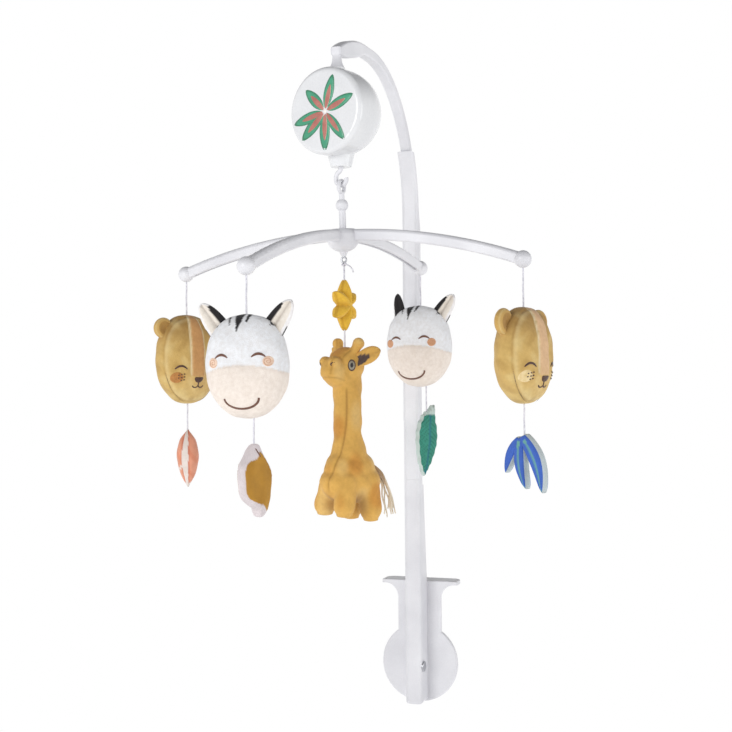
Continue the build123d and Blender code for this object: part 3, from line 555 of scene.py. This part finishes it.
def lion(side, azimuth, stripe, cheek, ear_seat):
    """A lion's head; ear_seat is where its ears sit and how large they are."""
    node, body = f"lion_head_{side}", f"toy_{side}"
    top, bottom = joints[f"toy_twist_{side}"], joints[f"leaf_twist_{side}"]
    matrix = facing(azimuth, (top + bottom) / 2)
    tall = (top.z - bottom.z) / MM
    points, faces, outward = head_base((62, tall, 38.5), 2.3, 0.13)
    x, y, z = points.T.copy()
    front = step(z, 4, 14)
    bridge_half = np.where(y > 12, 6.5 * np.clip(1 - ((y - 12) / (tall / 2 - 11)) ** 2, 0, 1) ** 0.5, 6.5)
    bridge = np.exp(-(x / np.maximum(bridge_half + 0.6, 0.8)) ** 6) * step(y, -22, -14) * step(z, 2, 9)
    muzzle = np.exp(-((x / 15) ** 2 + ((y + 22) / 11) ** 2)) * front
    groove = np.exp(-((z - 7) / 1.0) ** 2)
    edge = np.exp(-((abs(x) - bridge_half - 0.9) / 0.8) ** 2) * step(y, -17, -13) * step(z, 2, 9)
    points[:, 2] += 1.7 * bridge + 1.6 * muzzle - 0.7 * edge
    shrink = 1 - 0.016 * groove
    points[:, :2] *= shrink[:, None]
    points += outward * ripple(points, 0.35, 9)[:, None]
    paint = fill(len(points), "#CFAD68")
    # painted shade: the head darker towards its top; the next line makes it lighter towards the chin
    tint(paint, 0.8 * step(y, 4, 36), "#A07A40")
    tint(paint, 0.45 * step(-y, 14, 38), "#DDC585")
    tint(paint, 0.35 * np.exp(-((z - 9.5) / 1.6) ** 2), "#E6D3A0")
    # painted shade in the seam groove round the face
    tint(paint, 0.25 * groove, "#8A6430")
    # painted sheen: the velour's nap mottled with lighter highlights and darker patches
    nap_sheen = np.sin(x / 3.1 + np.sin(y / 4.3)) * np.sin(y / 5.2 + np.cos(x / 4.1) + z / 6)
    tint(paint, 0.4 * step(nap_sheen, 0.1, 0.9), "#E2CC90")
    tint(paint, 0.35 * step(-nap_sheen, 0.2, 0.9), "#A8823F")
    on_bridge = (abs(x) < bridge_half) & (y > -16) & (z > 2)
    tint(paint, on_bridge, stripe)
    tint(paint, 0.9 * edge, "#EADBB4")
    tint(paint, 0.35 * muzzle, "#DDBB80")
    head = piece(f"lion_{side}", points, faces, body, velour, matrix, paint, "lion_velour")
    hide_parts(node)
    face = Face(points, faces)
    for ear, ear_name in ((-1, "a"), (1, "b")):
        round_ear(f"lion_{side}_ear_{ear_name}", body, matrix, ear, "#B08848", "#CBA55F", *ear_seat)
    lion_face(side, body, matrix, face, cheek)
    lion_seams(side, body, matrix, tall)


def lion_face(side, body, matrix, face, cheek):
    """Nose, mouth, closed eyes, cheeks and whisker dots, all stitched."""
    nose = np.array([(4.6 * (abs(sin(turn)) ** 0.8) * np.sign(sin(turn)),
                      -18.3 + 2.6 * cos(turn) - 0.8 * cos(2 * turn))
                     for turn in np.arange(36) * 2 * pi / 36])
    dark = [face.patch(nose, 1.5), face.stroke([(0, -20), (0, -22), (0, -23.8)], 1.3)]
    for hand in (-1, 1):
        lip = [(hand * 2.75 * (1 - cos(turn)), -23.6 - 2.4 * sin(turn))
               for turn in np.linspace(0, pi * 0.92, 12)]
        dark.append(face.stroke(lip, 1.2))
        dark.append(face.stroke(arc(hand * 16.8, -7.6, 5.3, 2.9), 2.2, 0.7, True))
    points, faces = joined(dark)
    piece(f"lion_{side}_stitched_face", points, faces, body, thread["brown"], matrix, slot="lion_velour")
    points, faces = joined([face.patch(disc(hand * 19.8, -16.6, 5.4), 0.5) for hand in (-1, 1)])
    piece(f"lion_{side}_cheeks", points, faces, body, thread[cheek], matrix, slot="lion_velour")
    dots = [face.patch(disc(hand * (14.2 + 2.4 * (i % 3)), -13.6 - 2.6 * (i // 3) - 0.5 * (i % 3), 0.72, 10),
                       1.1, 3) for hand in (-1, 1) for i in range(8)]
    points, faces = joined(dots)
    piece(f"lion_{side}_whisker_dots", points, faces, body, thread["brown"], matrix, slot="lion_velour")


def lion_seams(side, body, matrix, tall):
    """Short stitches up each side of the chin."""
    stitches = []
    for hand in (-1, 1):
        for i in range(26):
            turn = radians(-76 + 60 * i / 25)
            rim_x = 29.6 * cos(turn) ** 0.8 * hand * (1 - 0.13 * sin(turn) ** 2)
            rim_y = (tall / 2 - 1.2) * sin(turn)
            rise = np.array((0, 0.9 * cos(turn), 0))
            on_rim = np.array((rim_x * 0.985, rim_y, 7))
            stitches.append(tube([on_rim - rise, on_rim + rise], 0.16, 6))
    points, faces = joined(stitches)
    piece(f"lion_{side}_seam_stitches", points, faces, body, thread["brown"], matrix, slot="lion_velour")


def leaf_ear(name, body, matrix, side, black_ear):
    """A pointed ear from its root on the head out to its tip, folded along its middle."""
    root, tip = np.array((side * 21.5, 29.0)), np.array((side * 36.0, 49.5))
    if black_ear:
        root, tip = np.array((side * 19.0, 31.0)), np.array((side * 21.0, 53.0))
    axis = (tip - root) / np.linalg.norm(tip - root)
    across = np.array((-axis[1], axis[0]))
    share = np.sin(np.linspace(0, pi / 2, 22))
    half = (9.4 if not black_ear else 6.0) * (1 - share ** 3.4) ** 0.55 * (1 - 0.2 * share)
    length = np.linalg.norm(tip - root) + 3
    start = root - axis * 3
    outline = np.vstack([start + np.outer(share * length, axis) + np.outer(half, across),
                         (start + np.outer(share * length, axis) - np.outer(half, across))[::-1][1:]])
    points, faces, reach = pillow(outline, [start + axis * 4, tip - axis * 5], 5.6, 0.85, 20)
    off = (points[:, :2] - start) @ across
    points[:, 2] -= np.where(points[:, 2] > 0, 1.5 * np.exp(-(off / 1.6) ** 2), 0)
    points[:, 2] -= 1.0
    paint = fill(len(points), "#F2F1F2")
    along = (points[:, :2] - start) @ axis
    tint(paint, (reach < 0.7) * (points[:, 2] > -0.5), "#EDE6DC")
    # painted shade along the middle fold
    tint(paint, np.exp(-(off / 0.8) ** 2) * (points[:, 2] > -0.5) * 0.5, "#A79C92")
    tint(paint, (off * side > 3.4) * (along < 22) * (points[:, 2] > -1.8), "#1F1D20")
    tint(paint, (reach > 0.93) * (along < 9), "#2A282B")
    if black_ear:
        tint(paint, off * side > -4.5, "#232124")
    ear = piece(name, points, faces, body, velour, matrix, paint, "zebra_velour")


def zebra(side, azimuth, cheek, dark_left_ear, aside):
    """aside is how far the face sits off the middle of the head, as its cover is sewn on."""
    node, body = f"zebra_head_{side}", f"toy_{side}"
    top, bottom = joints[f"toy_twist_{side}"], joints[f"leaf_twist_{side}"]
    matrix = facing(azimuth, top.lerp(bottom, -0.3 if dark_left_ear else 0.1), 1.5)
    matrix.translation.z = (top.z + bottom.z) / 2
    points, faces, outward = head_base((65, 80, 41), 2.25, 0.10)
    x, y, z = points.T.copy()
    arch = 1 - 6.0 * ((x - aside) / 31) ** 2
    front = step(z, -1, 3)
    muzzle = np.exp(-((x / 22) ** 4 + ((y + 18) / 17) ** 4)) * front
    seam = np.exp(-((y - arch) / 0.8) ** 2) * front
    points[:, 2] += 1.6 * muzzle - 0.7 * seam
    rim_groove = np.exp(-((z - 1) / 0.9) ** 2)
    points[:, :2] *= (1 - 0.016 * rim_groove)[:, None]
    points += outward * ripple(points, 0.3, 10)[:, None]
    paint = fill(len(points), "#EDEFF3")
    tint(paint, y < arch, "#EFE5DC")
    # painted shade in the seam groove across the face and in the groove round its rim
    tint(paint, 0.25 * seam + 0.15 * rim_groove, "#C9BCB0")
    forelock = ([(-7.6, 48), (4.4, 48), (-2.2, 25.5)], [(-13.5, 47), (-8.4, 47), (-8.8, 30.4)],
                [(5.5, 48), (11.5, 46), (3.2, 31.4)])
    for stripe in forelock:
        tint(paint, inside(x - aside, y, stripe) & (z > -3), "#1E1C1F")
    for hand in (-1, 1):
        ear_root = [(hand * across, up) for across, up in ((15, 47), (31, 38), (26, 30), (20.5, 30.5))]
        tint(paint, inside(x, y, ear_root) & (z > -3), "#1E1C1F")
    head = piece(f"zebra_{side}", points, faces, body, velour, matrix, paint, "zebra_velour")
    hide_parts(node)
    leaf_ear(f"zebra_{side}_ear_a", body, matrix, -1, dark_left_ear)
    leaf_ear(f"zebra_{side}_ear_b", body, matrix, 1, False)
    zebra_face(side, body, matrix, Face(points, faces), cheek, aside)


def zebra_face(side, body, matrix, face, cheek, aside):
    """Closed eyes, smile, and cheeks with a spiral stitched on each."""
    lines = [face.stroke(arc(aside + hand * 14.5, 8.0, 5.2, 2.4), 2.4, 0.7, True) for hand in (-1, 1)]
    mouth = np.array([(aside + 13.5 * sin(turn), -24 - 8 * cos(turn))
                      for turn in np.linspace(-pi / 2, pi / 2, 25)])
    lines.append(face.stroke(mouth, 1.8, 0.6))
    points, faces = joined(lines)
    piece(f"zebra_{side}_stitched_face", points, faces, body, thread["hazel"], matrix, slot="zebra_velour")
    points, faces = joined([face.patch(disc(aside + hand * 21.6, 3.3, 4.3), 0.6) for hand in (-1, 1)])
    piece(f"zebra_{side}_cheeks", points, faces, body, thread[cheek], matrix, slot="zebra_velour")
    coils = [face.stroke([(aside + hand * 21.6 + 0.75 * turn * cos(2.6 * turn),
                           3.3 + 0.75 * turn * sin(2.6 * turn))
                          for turn in np.linspace(0.4, 4.6, 46)], 0.45, 0.9) for hand in (-1, 1)]
    points, faces = joined(coils)
    piece(f"zebra_{side}_cheek_spirals", points, faces, body, thread["tan"], matrix, slot="zebra_velour")


lion("right", 70.7, "#DDB78E", "pale", ((27.5, 27.5, -2), 1.15))
lion("left", 58.7, "#C8965F", "orange", ((26, 29, 1), 1.0))
zebra("front", 8.7, "peach", False, -1)
zebra("rear", 1.7, "tan", True, -4.6)


# ---------------------------------------------------------------- leaves under the heads
def leaf_frame(side, azimuth):
    """Where a leaf hangs from, and its height in mm."""
    low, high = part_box(f"leaf_{side}")
    at = joints[f"leaf_twist_{side}"].copy()
    at.z = high.z
    return facing(azimuth, at), (high.z - low.z) / MM


LEAF_SLOTS = {"right": "leaf_blue", "rear": "leaf_green", "left": "leaf_coral", "front": "leaf_mustard"}


def leaf_piece(side, matrix, points, faces, paint):
    """The cushion that a leaf is, in place of its CAD solid."""
    cushion = piece(f"leaf_{side}_cushion", points, faces, f"tail_{side}", cotton, matrix, paint,
                  LEAF_SLOTS[side])
    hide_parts(f"leaf_{side}")


def front_leaf():
    """A broad leaf with a mustard front on a pale back."""
    matrix, _ = leaf_frame("front", 70)
    outline = smooth_loop([(-1.5, 0.5), (2, 0.3), (5.5, -5), (11, -12.5), (16, -21), (16.2, -29),
                           (14, -43), (10.8, -51.5), (6.5, -55.5), (2.5, -55), (1, -50), (-7, -44.8),
                           (-13.2, -39), (-15.2, -28), (-15, -17),
                           (-9.5, -8.5), (-5, -2.5)])
    points, faces, _ = pillow(outline, [(0, -14), (2, -40)], 10.5, 0.5, 34)
    face_outline = [(1.3, -5.3), (9.4, -13.5), (14.4, -22), (14.6, -28), (12.4, -43.4), (9.2, -51),
                    (4.6, -46.6),
                    (-6.8, -42.2), (-12, -37.6), (-13.6, -27.6), (-13.6, -18), (-10.4, -12.9), (-1.4, -10)]
    face_outline = [tuple(point) for point in smooth_loop(face_outline, 5)]
    yes = inside(points[:, 0], points[:, 1], face_outline) & (abs(points[:, 2]) > 2.6)
    points[:, 2] += np.where(yes, np.sign(points[:, 2]) * 0.5, 0) + 0.25 * ripple(points, 1, 7)
    paint = fill(len(points), "#DCD3D6")
    tint(paint, yes, "#B8862B")
    blotches = np.sin(points[:, 0] / 3.4 + 1) * np.sin(points[:, 1] / 9)
    tint(paint, yes * 0.35 * step(blotches, 0.1, 0.9), "#A5741E")
    leaf_piece("front", matrix, points, faces, paint)
    crease_line = smooth_loop([(-3.2, -2.6), (-1.5, -5.2), (1.0, -9)], 6, False)
    crease, crease_faces = Face(points, faces).stroke(crease_line, 1.1, 0.6, True)
    piece("leaf_front_crease", crease, crease_faces, "tail_front", thread["hazel"], matrix,
          slot="leaf_mustard")


def left_leaf():
    """A fat coral pod with a pale band between its two sides."""
    matrix, tall = leaf_frame("left", 104)
    share = np.linspace(0, 1, 28)
    half = 12.5 * np.sin(pi * share ** 0.92) ** 0.85
    outline = np.vstack([np.column_stack([half, 0.5 - share * tall]),
                         np.column_stack([-half, 0.5 - share * tall])[::-1][1:-1]])
    points, faces, _ = pillow(outline, [(0, -10), (0, -tall + 10)], 20, 0.95, 34)
    swell = np.clip(np.sin(pi * np.clip(-points[:, 1] / tall, 0.02, 0.98) ** 0.85), 0.12, 1) ** 0.8
    points[:, 2] *= swell
    points += 0.25 * ripple(points, 1, 8)[:, None] * np.array((1, 0, 1))
    y, z = points.T[1:]
    paint = fill(len(points), "#E9A285")
    tint(paint, 0.7 * step(np.sin(y / 3.1 + z * 0.5), 0.3, 0.9), "#DE8C6C")
    edge = np.abs(np.abs(z) - 3.2 * swell)
    tint(paint, 0.8 * np.exp(-(edge / 0.9) ** 2), "#C66A50")
    tint(paint, np.abs(z) < 3.0 * swell, "#E6DBD4")
    tint(paint, (np.abs(y + 0.66 * tall - (z + 6) * 1.1) < 1.5) & (z < -2.6 * swell), "#F0E8E2")
    tint(paint, y < -tall + 5, "#E6DBD4")
    leaf_piece("left", matrix, points, faces, paint)


def rear_leaf():
    """A green leaf with a rib and veins, pale at its edge and top."""
    matrix, tall = leaf_frame("rear", 50)
    outline = smooth_loop([(2, 0.5), (5, 4.5), (8.5, 5), (9, 0), (9.5, -9), (11.5, -20), (11, -31),
                           (8.5, -40), (4, -50), (-1, -58), (-4.5, -tall + 0.5), (-7.5, -56),
                           (-10.5, -45), (-12, -33), (-12, -22), (-9.5, -12), (-5, -4), (-1, -0.6)])
    wobble = 1 + 0.03 * np.sin(np.arange(len(outline)) * 0.9)
    outline = np.array((0, -tall / 2)) + (outline - np.array((0, -tall / 2))) * wobble[:, None]
    points, faces, reach = pillow(outline, [(1, -12), (1, -30), (-3, -52)], 10, 0.72, 30)
    x, y = points[:, 0], points[:, 1]
    rib = 1.6 - 7.0 * np.clip((-y - 8) / 55, 0, 1) ** 2
    points[:, 2] -= np.sign(points[:, 2]) * 0.7 * np.exp(-((x - rib) / 0.9) ** 2) * (reach < 0.9)
    paint = fill(len(points), "#3A927F")
    veins = np.sin((abs(x - rib) * 0.9 + y) * 1.55)
    tint(paint, 0.8 * step(veins, 0.4, 0.9), "#256A5A")
    tint(paint, np.exp(-((x - rib) / 1.1) ** 4), "#2F7A86")
    tint(paint, np.maximum(step(reach, 0.86, 0.9), step(y, -4, -2.5)), "#C9DAD5")
    leaf_piece("rear", matrix, points, faces, paint)


def right_leaf():
    """Three blue blades that hang from one point, two of them ribbed."""
    matrix, tall = leaf_frame("right", -23)
    lobes, shades = [], []
    for (ax, ay), (bx, by), width, bow, ribbed in (((-3, -1.5), (-17, -31), 8.5, -2.5, False),
                                                   ((-2, -1), (3, -tall + 3), 10.5, -3.5, True),
                                                   ((0, 0.5), (19, -tall + 0.5), 12.5, 4.0, True)):
        share = np.linspace(0, 1, 26)
        bend = bow * np.sin(pi * share)
        span = np.hypot(bx - ax, by - ay)
        dx, dy = (bx - ax) / span, (by - ay) / span
        line = np.column_stack([ax + (bx - ax) * share - dy * bend, ay + (by - ay) * share + dx * bend])
        half = width / 2 * np.sin(pi * (0.12 + 0.88 * share) ** 0.9) ** 0.8
        across = np.array((-dy, dx))
        outline = np.vstack([line + np.outer(half, across), (line - np.outer(half, across))[::-1][1:]])
        points, faces, reach = pillow(outline, line[4:-3], 10.5, 0.55, 26)
        offset = points[:, :2] - np.array((ax, ay))
        along = offset @ np.array((dx, dy)) / span
        gap = np.abs(offset @ across - np.interp(along, share, bend))
        paint = fill(len(points), "#C3CFD3")
        on_face = (reach < 0.93) & (np.abs(points[:, 2]) > 2)
        tint(paint, on_face, "#3F66C0")
        if ribbed:
            tint(paint, on_face & (gap < 1.5 * (1.1 - along)), "#6AA5A0")
        points[:, 2] -= np.sign(points[:, 2]) * 0.5 * np.exp(-(gap / 1.2) ** 2) * on_face
        lobes.append((points, faces))
        shades.append(paint)
    points, faces = joined(lobes)
    leaf_piece("right", matrix, points, faces, np.vstack(shades))


front_leaf()
left_leaf()
rear_leaf()
right_leaf()


# ---------------------------------------------------------------- star
def star():
    """A six-pointed star, creased from its middle to between its points."""
    low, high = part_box("star_cushion")
    at = (low + high) / 2
    at.x, at.y = joints["star_twist"].x, joints["star_twist"].y
    tall = (high.z - low.z) / MM
    matrix = facing(85, at)
    turn = np.arange(240) * 2 * pi / 240
    point = np.abs(1 - ((turn - pi / 2) % (pi / 3)) / (pi / 6))
    radius = tall / 2 * (0.55 + 0.45 * point ** 1.35)
    outline = np.column_stack([radius * np.cos(turn), radius * np.sin(turn)])
    points, faces, reach = pillow(outline, [(0, -0.4), (0, 0.4)], 13.5, 0.92, 34)
    angle = np.arctan2(points[:, 1], points[:, 0])
    valley = 0.5 - 0.5 * np.cos(6 * (angle - pi / 2))
    far = np.hypot(points[:, 0], points[:, 1]) / (tall / 2)
    crease = 0.32 * valley ** 2 * step(far, 0.05, 0.45)
    points[:, 2] *= 1 - crease + 0.18 * (1 - valley) * np.exp(-((far - 0.45) / 0.25) ** 2)
    paint = fill(len(points), "#EABC3E")
    # painted shade in the creases between the points; the next line darkens the outer edge as well
    tint(paint, 0.5 * valley ** 3 * step(far, 0.1, 0.5), "#B98618")
    tint(paint, 0.5 * np.exp(-((reach - 1) / 0.02) ** 2), "#B98618")
    cushion = piece("star_padded", points, faces, "star", velour, matrix, paint, "star_velour")
    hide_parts("star_cushion")


star()


# ---------------------------------------------------------------- giraffe
def rounded(centre, radii, level=4):
    """A ball stretched to three radii."""
    outward, faces = ball(level)
    return outward * np.array(radii) + np.array(centre), faces


def limb(start, end, start_radius, end_radius, count=12):
    """A rod with round ends whose radius runs from ra to rb."""
    start, end = np.array(start, float), np.array(end, float)
    return joined([rounded(start + (end - start) * share,
                           [start_radius + (end_radius - start_radius) * share] * 3, 3)
                   for share in np.linspace(0, 1, count)])


def merged(name, parts, voxel, rounds):
    """One closed skin over overlapping lumps, smoothed where they meet. Returns points in mm and faces."""
    lumps, lump_faces = joined(parts)
    mesh = bpy.data.meshes.new(name)
    mesh.from_pydata([tuple(np.array(item) * MM) for item in lumps], [], lump_faces)
    carrier = bpy.data.objects.new(name, mesh)
    bpy.context.scene.collection.objects.link(carrier)
    skin = carrier.modifiers.new("skin", "REMESH")
    skin.mode, skin.voxel_size = "VOXEL", voxel * MM
    relax = carrier.modifiers.new("relax", "SMOOTH")
    relax.factor, relax.iterations = 0.5, rounds
    bpy.context.view_layer.update()
    made = carrier.evaluated_get(bpy.context.evaluated_depsgraph_get()).to_mesh()
    points = np.array([v.co for v in made.vertices]) / MM
    faces = [list(item.vertices) for item in made.polygons]
    bpy.data.objects.remove(carrier)
    return points, faces


def giraffe_skin():
    """Body, neck, head, legs and horns in one skin. Returns its frame and a tree of its surface."""
    at = joints["giraffe_twist"].copy()
    at.z = 0
    forward = radians(-31)
    matrix = Matrix(((sin(forward), cos(forward), 0), (-cos(forward), sin(forward), 0), (0, 0, 1))).to_4x4()
    matrix.translation = at
    parts = [rounded((-5, 0, 205), (30, 21.5, 18.5)), rounded((-4.5, 0, 215.5), (24.5, 19.5, 19.5)),
             rounded((7, 0, 297.5), (12.5, 12.5, 9.5)),
             limb((-4, 0, 222), (-2.5, 0, 246), 17.5, 12.4, 10),
             limb((-2.5, 0, 238), (-2.5, 0, 300), 12.4, 12.8, 14),
             rounded((-1.5, 0, 308), (15.5, 16.8, 16)), limb((4, 0, 304), (12, 0, 303), 12.8, 12.2, 6)]
    for hand in (-1, 1):
        parts += [limb((13, hand * 13.4, 185.8), (8, hand * 11, 206), 9.6, 10, 8),
                  limb((-17, hand * 13.4, 180.2), (-16, hand * 11, 206), 9.6, 10.5, 9),
                  rounded((17, hand * 6.6, 311), (5.6, 5.2, 5.2), 3),
                  limb((-1, hand * 7.5, 315), (-4, hand * 13.5, 325.5), 4.2, 4.4, 8),
                  rounded((-4, hand * 14.5, 327), (5.3, 5.3, 5.3), 3)]
    points, faces = merged("giraffe_skin", parts, 1.15, 12)
    u, v, z = points.T.copy()  # forward, to its left, up
    # flat soles, a seam down the front, and folds
    for hand in (-1, 1):
        for cu, low in ((13, 176.2), (-17, 170.6)):
            near = np.hypot(u - cu, v - hand * 13.5) < 14
            flatter = low + (points[:, 2] - low) * 0.45
            points[:, 2] = np.where(near & (points[:, 2] < low + 3), flatter, points[:, 2])
    turn_at = radians(10) + radians(38) * step(z, 200, 270)
    angle = np.arctan2(v, u + 2.5)
    off = np.abs(angle - turn_at) * np.hypot(u + 2.5, v)
    seam = np.exp(-(off / 0.9) ** 2) * step(z, 196, 204) * step(-z, -291, -284)
    top_seam = np.exp(-((np.abs(v) - 6.5 - 0.18 * np.abs(z - 300)) / 0.9) ** 2) * (z > 300) * (u > -6)
    mouth = np.exp(-((z - 297.5 + 0.12 * (u - 22) ** 2 / 6) / 0.8) ** 2) * (u > 9) * (z > 288)
    pull = 0.8 * seam + 0.5 * top_seam + 0.5 * mouth
    centre = np.column_stack([np.full(len(points), -2.5), np.zeros(len(points)), points[:, 2]])
    out = points - centre
    out /= np.maximum(np.linalg.norm(out, axis=1), 1e-6)[:, None]
    points -= out * pull[:, None]
    folds = 0.3 * np.sin(z / 2.6 + u / 7) * np.exp(-((z - 228) / 9) ** 2)
    points += out * (ripple(points, 0.4, 8) + folds)[:, None]
    paint = fill(len(points), "#E0B05A")
    # painted shade and painted highlights: orange-brown and pale yellow patches
    tint(paint, 0.75 * step(np.sin(u / 7.5 + 1) * np.cos(v / 6.8) * np.sin(z / 9.5), 0.05, 0.7), "#CB8B3A")
    tint(paint, 0.6 * step(np.sin(u / 6 + 2) * np.cos(v / 8 + 1) * np.cos(z / 12), 0.15, 0.8), "#E9C681")
    # painted shade under the body, between the legs
    tint(paint, 0.8 * np.exp(-((u + 1) / 7) ** 2) * step(-z, -203, -188), "#8A5A22")
    tint(paint, 0.7 * np.exp(-(v / 5) ** 2) * step(-z, -203, -188), "#8A5A22")
    # painted shade in the seam grooves and the mouth line
    tint(paint, 0.5 * seam + 0.35 * top_seam + 0.3 * mouth, "#8A5E26")
    skin = piece("giraffe_padded", points, faces, "giraffe_toy", velour, matrix, paint, "giraffe_velour")
    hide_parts("giraffe")
    tree = BVHTree.FromPolygons([Vector(point) for point in points], faces)
    return matrix, tree


def giraffe_ears(matrix):
    """Two pointed cushions with a dark lining."""
    for hand, side in ((-1, "a"), (1, "b")):
        share = np.sin(np.linspace(0, pi / 2, 22))
        half = 7.4 * (1 - share ** 6) ** 0.5 * (0.72 + 0.28 * np.sin(2.8 * share))
        outline = np.vstack([np.column_stack([25 * share - 3, half]),
                             np.column_stack([25 * share - 3, -half])[::-1][1:]])
        points, faces, _ = pillow(outline, [(2, 0), (15, 0)], 5.5, 0.85, 18)
        points[:, 2] -= np.where(points[:, 2] > 0, 1.7 * np.exp(-(points[:, 1] / 2.6) ** 2), 0)
        shade = fill(len(points), "#E0B05A")
        lining = ((points[:, 0] - 2) / 10) ** 2 + ((points[:, 1] + hand * 1.2) / 4.2) ** 2 < 1
        tint(shade, lining & (points[:, 2] > -0.6), "#5A4A45")
        along = Vector((-9, hand * 18, 9)).normalized()
        facing_out = Vector((0.95, hand * 0.25, 0.1))
        facing_out = (facing_out - along * facing_out.dot(along)).normalized()
        ear = Matrix((along, facing_out.cross(along), facing_out)).transposed().to_4x4()
        ear.translation = Vector((-3, hand * 15, 312)) * MM
        made = piece(f"giraffe_ear_{side}", points, faces, "giraffe_toy", velour, matrix @ ear, shade,
                     "giraffe_velour")


def giraffe_face(matrix, tree):
    """Eyes and nostrils, laid on the skin."""
    for hand, side in ((-1, "a"), (1, "b")):
        hit = tree.find_nearest(Vector((8, hand * 20, 308)))
        normal = hit[1] if hit[1].y * hand > 0 else -hit[1]
        up = (Vector((0, 0, 1)) - normal * normal.z).normalized()
        eye = Matrix((up.cross(normal), up, normal)).transposed().to_4x4()
        eye.translation = (hit[0] - normal * 0.9) * MM
        for name, wide, high, deep, look in (("rim", 3.6, 5.1, 3.0, "brown"),
                                             ("iris", 3.15, 4.6, 3.6, "iris"),
                                       ("pupil", 1.9, 2.9, 4.5, "black")):
            oval = disc(0, 0, 1, 32) * np.array((wide, high))
            points, faces, _ = pillow(oval, [(0, -0.1), (0, 0.1)], deep, 0.9, 14)
            piece(f"giraffe_eye_{name}_{side}", points, faces, "giraffe_toy", thread[look], matrix @ eye,
                  slot="giraffe_velour")
        hit = tree.find_nearest(Vector((24, hand * 9, 308.5)))
        line = [hit[0] + Vector((-0.6 * i * i / 4, hand * 0.4 * i, 0.35 * i)) for i in np.linspace(-4, 4, 9)]
        on_skin = [tree.find_nearest(point)[0] for point in line]
        points, faces = tube(on_skin, 0.75, 8, lambda share: 0.4 + 0.6 * sin(pi * share))
        piece(f"giraffe_nostril_{side}", points, faces, "giraffe_toy", thread["brown"], matrix,
              slot="giraffe_velour")


def giraffe_tail(matrix):
    """Loose strands of yarn, sewn in at one end."""
    strands = []
    for i in range(9):
        turn = 2 * pi * i / 9
        start = np.array((-32, 1.6 * cos(turn), 217 + 1.4 * sin(turn)))
        end = np.array((-50 + 3.0 * sin(turn * 2.3), 2 + 6.5 * cos(turn), 175 + 4.5 * sin(turn * 1.7)))
        middle = (start + end) / 2 + np.array((-7 + 1.5 * cos(turn), 2.4 * sin(turn), 10))
        path = []
        for share in np.linspace(0, 1, 34):
            point = (1 - share) ** 2 * start + 2 * share * (1 - share) * middle + share * share * end
            curl = np.array((0.9 * sin(15 * share + turn), 0.9 * cos(13 * share + 2 * turn), 0))
            path.append(point + curl * share)
        strands.append(tube(path, 0.95, 7, lambda share: 1.0 - 0.35 * share))
    points, faces = joined(strands)
    points = np.array(points)
    shade = fill(len(points), "#A98A66")
    tint(shade, step(-points[:, 2], -216, -198), "#EDE2CE")
    tail = piece("giraffe_tail_yarn", points, faces, "giraffe_toy", cotton, matrix, shade, "yarn")
    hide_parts("giraffe_tail")


giraffe_frame, giraffe_tree = giraffe_skin()
giraffe_ears(giraffe_frame)
giraffe_face(giraffe_frame, giraffe_tree)
giraffe_tail(giraffe_frame)


# ---------------------------------------------------------------- knot at the eyelet
def knot():
    """A loop of string round the eyelet, with its loose tail."""
    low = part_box("hub_eyelet")[0]
    at = joints["centre_swing"]
    matrix = facing(VIEW_AZIMUTH, Vector((at.x, at.y, low.z)))
    loop = [(1.5 * cos(turn) * (1 + 0.25 * sin(3 * turn)), -0.9 + 0.9 * sin(2 * turn), 1.5 * sin(turn))
            for turn in np.linspace(0.2, 2 * pi * 1.55, 60)]
    tail = smooth_loop([(1.0, -0.8, 0.8), (3.4, -1.6, 1.6), (6.0, -3.6, 1.7), (7.6, -6.0, 1.4),
                        (8.0, -8.0, 1.2)], 8, False)
    points, faces = joined([tube(loop, 0.7, 10), tube(tail, 0.62, 10, lambda turn: 1 + 0.25 * (turn > 0.93))])
    piece("hub_knot", points, faces, "hang_centre", finish["string"], matrix, slot="string")


knot()
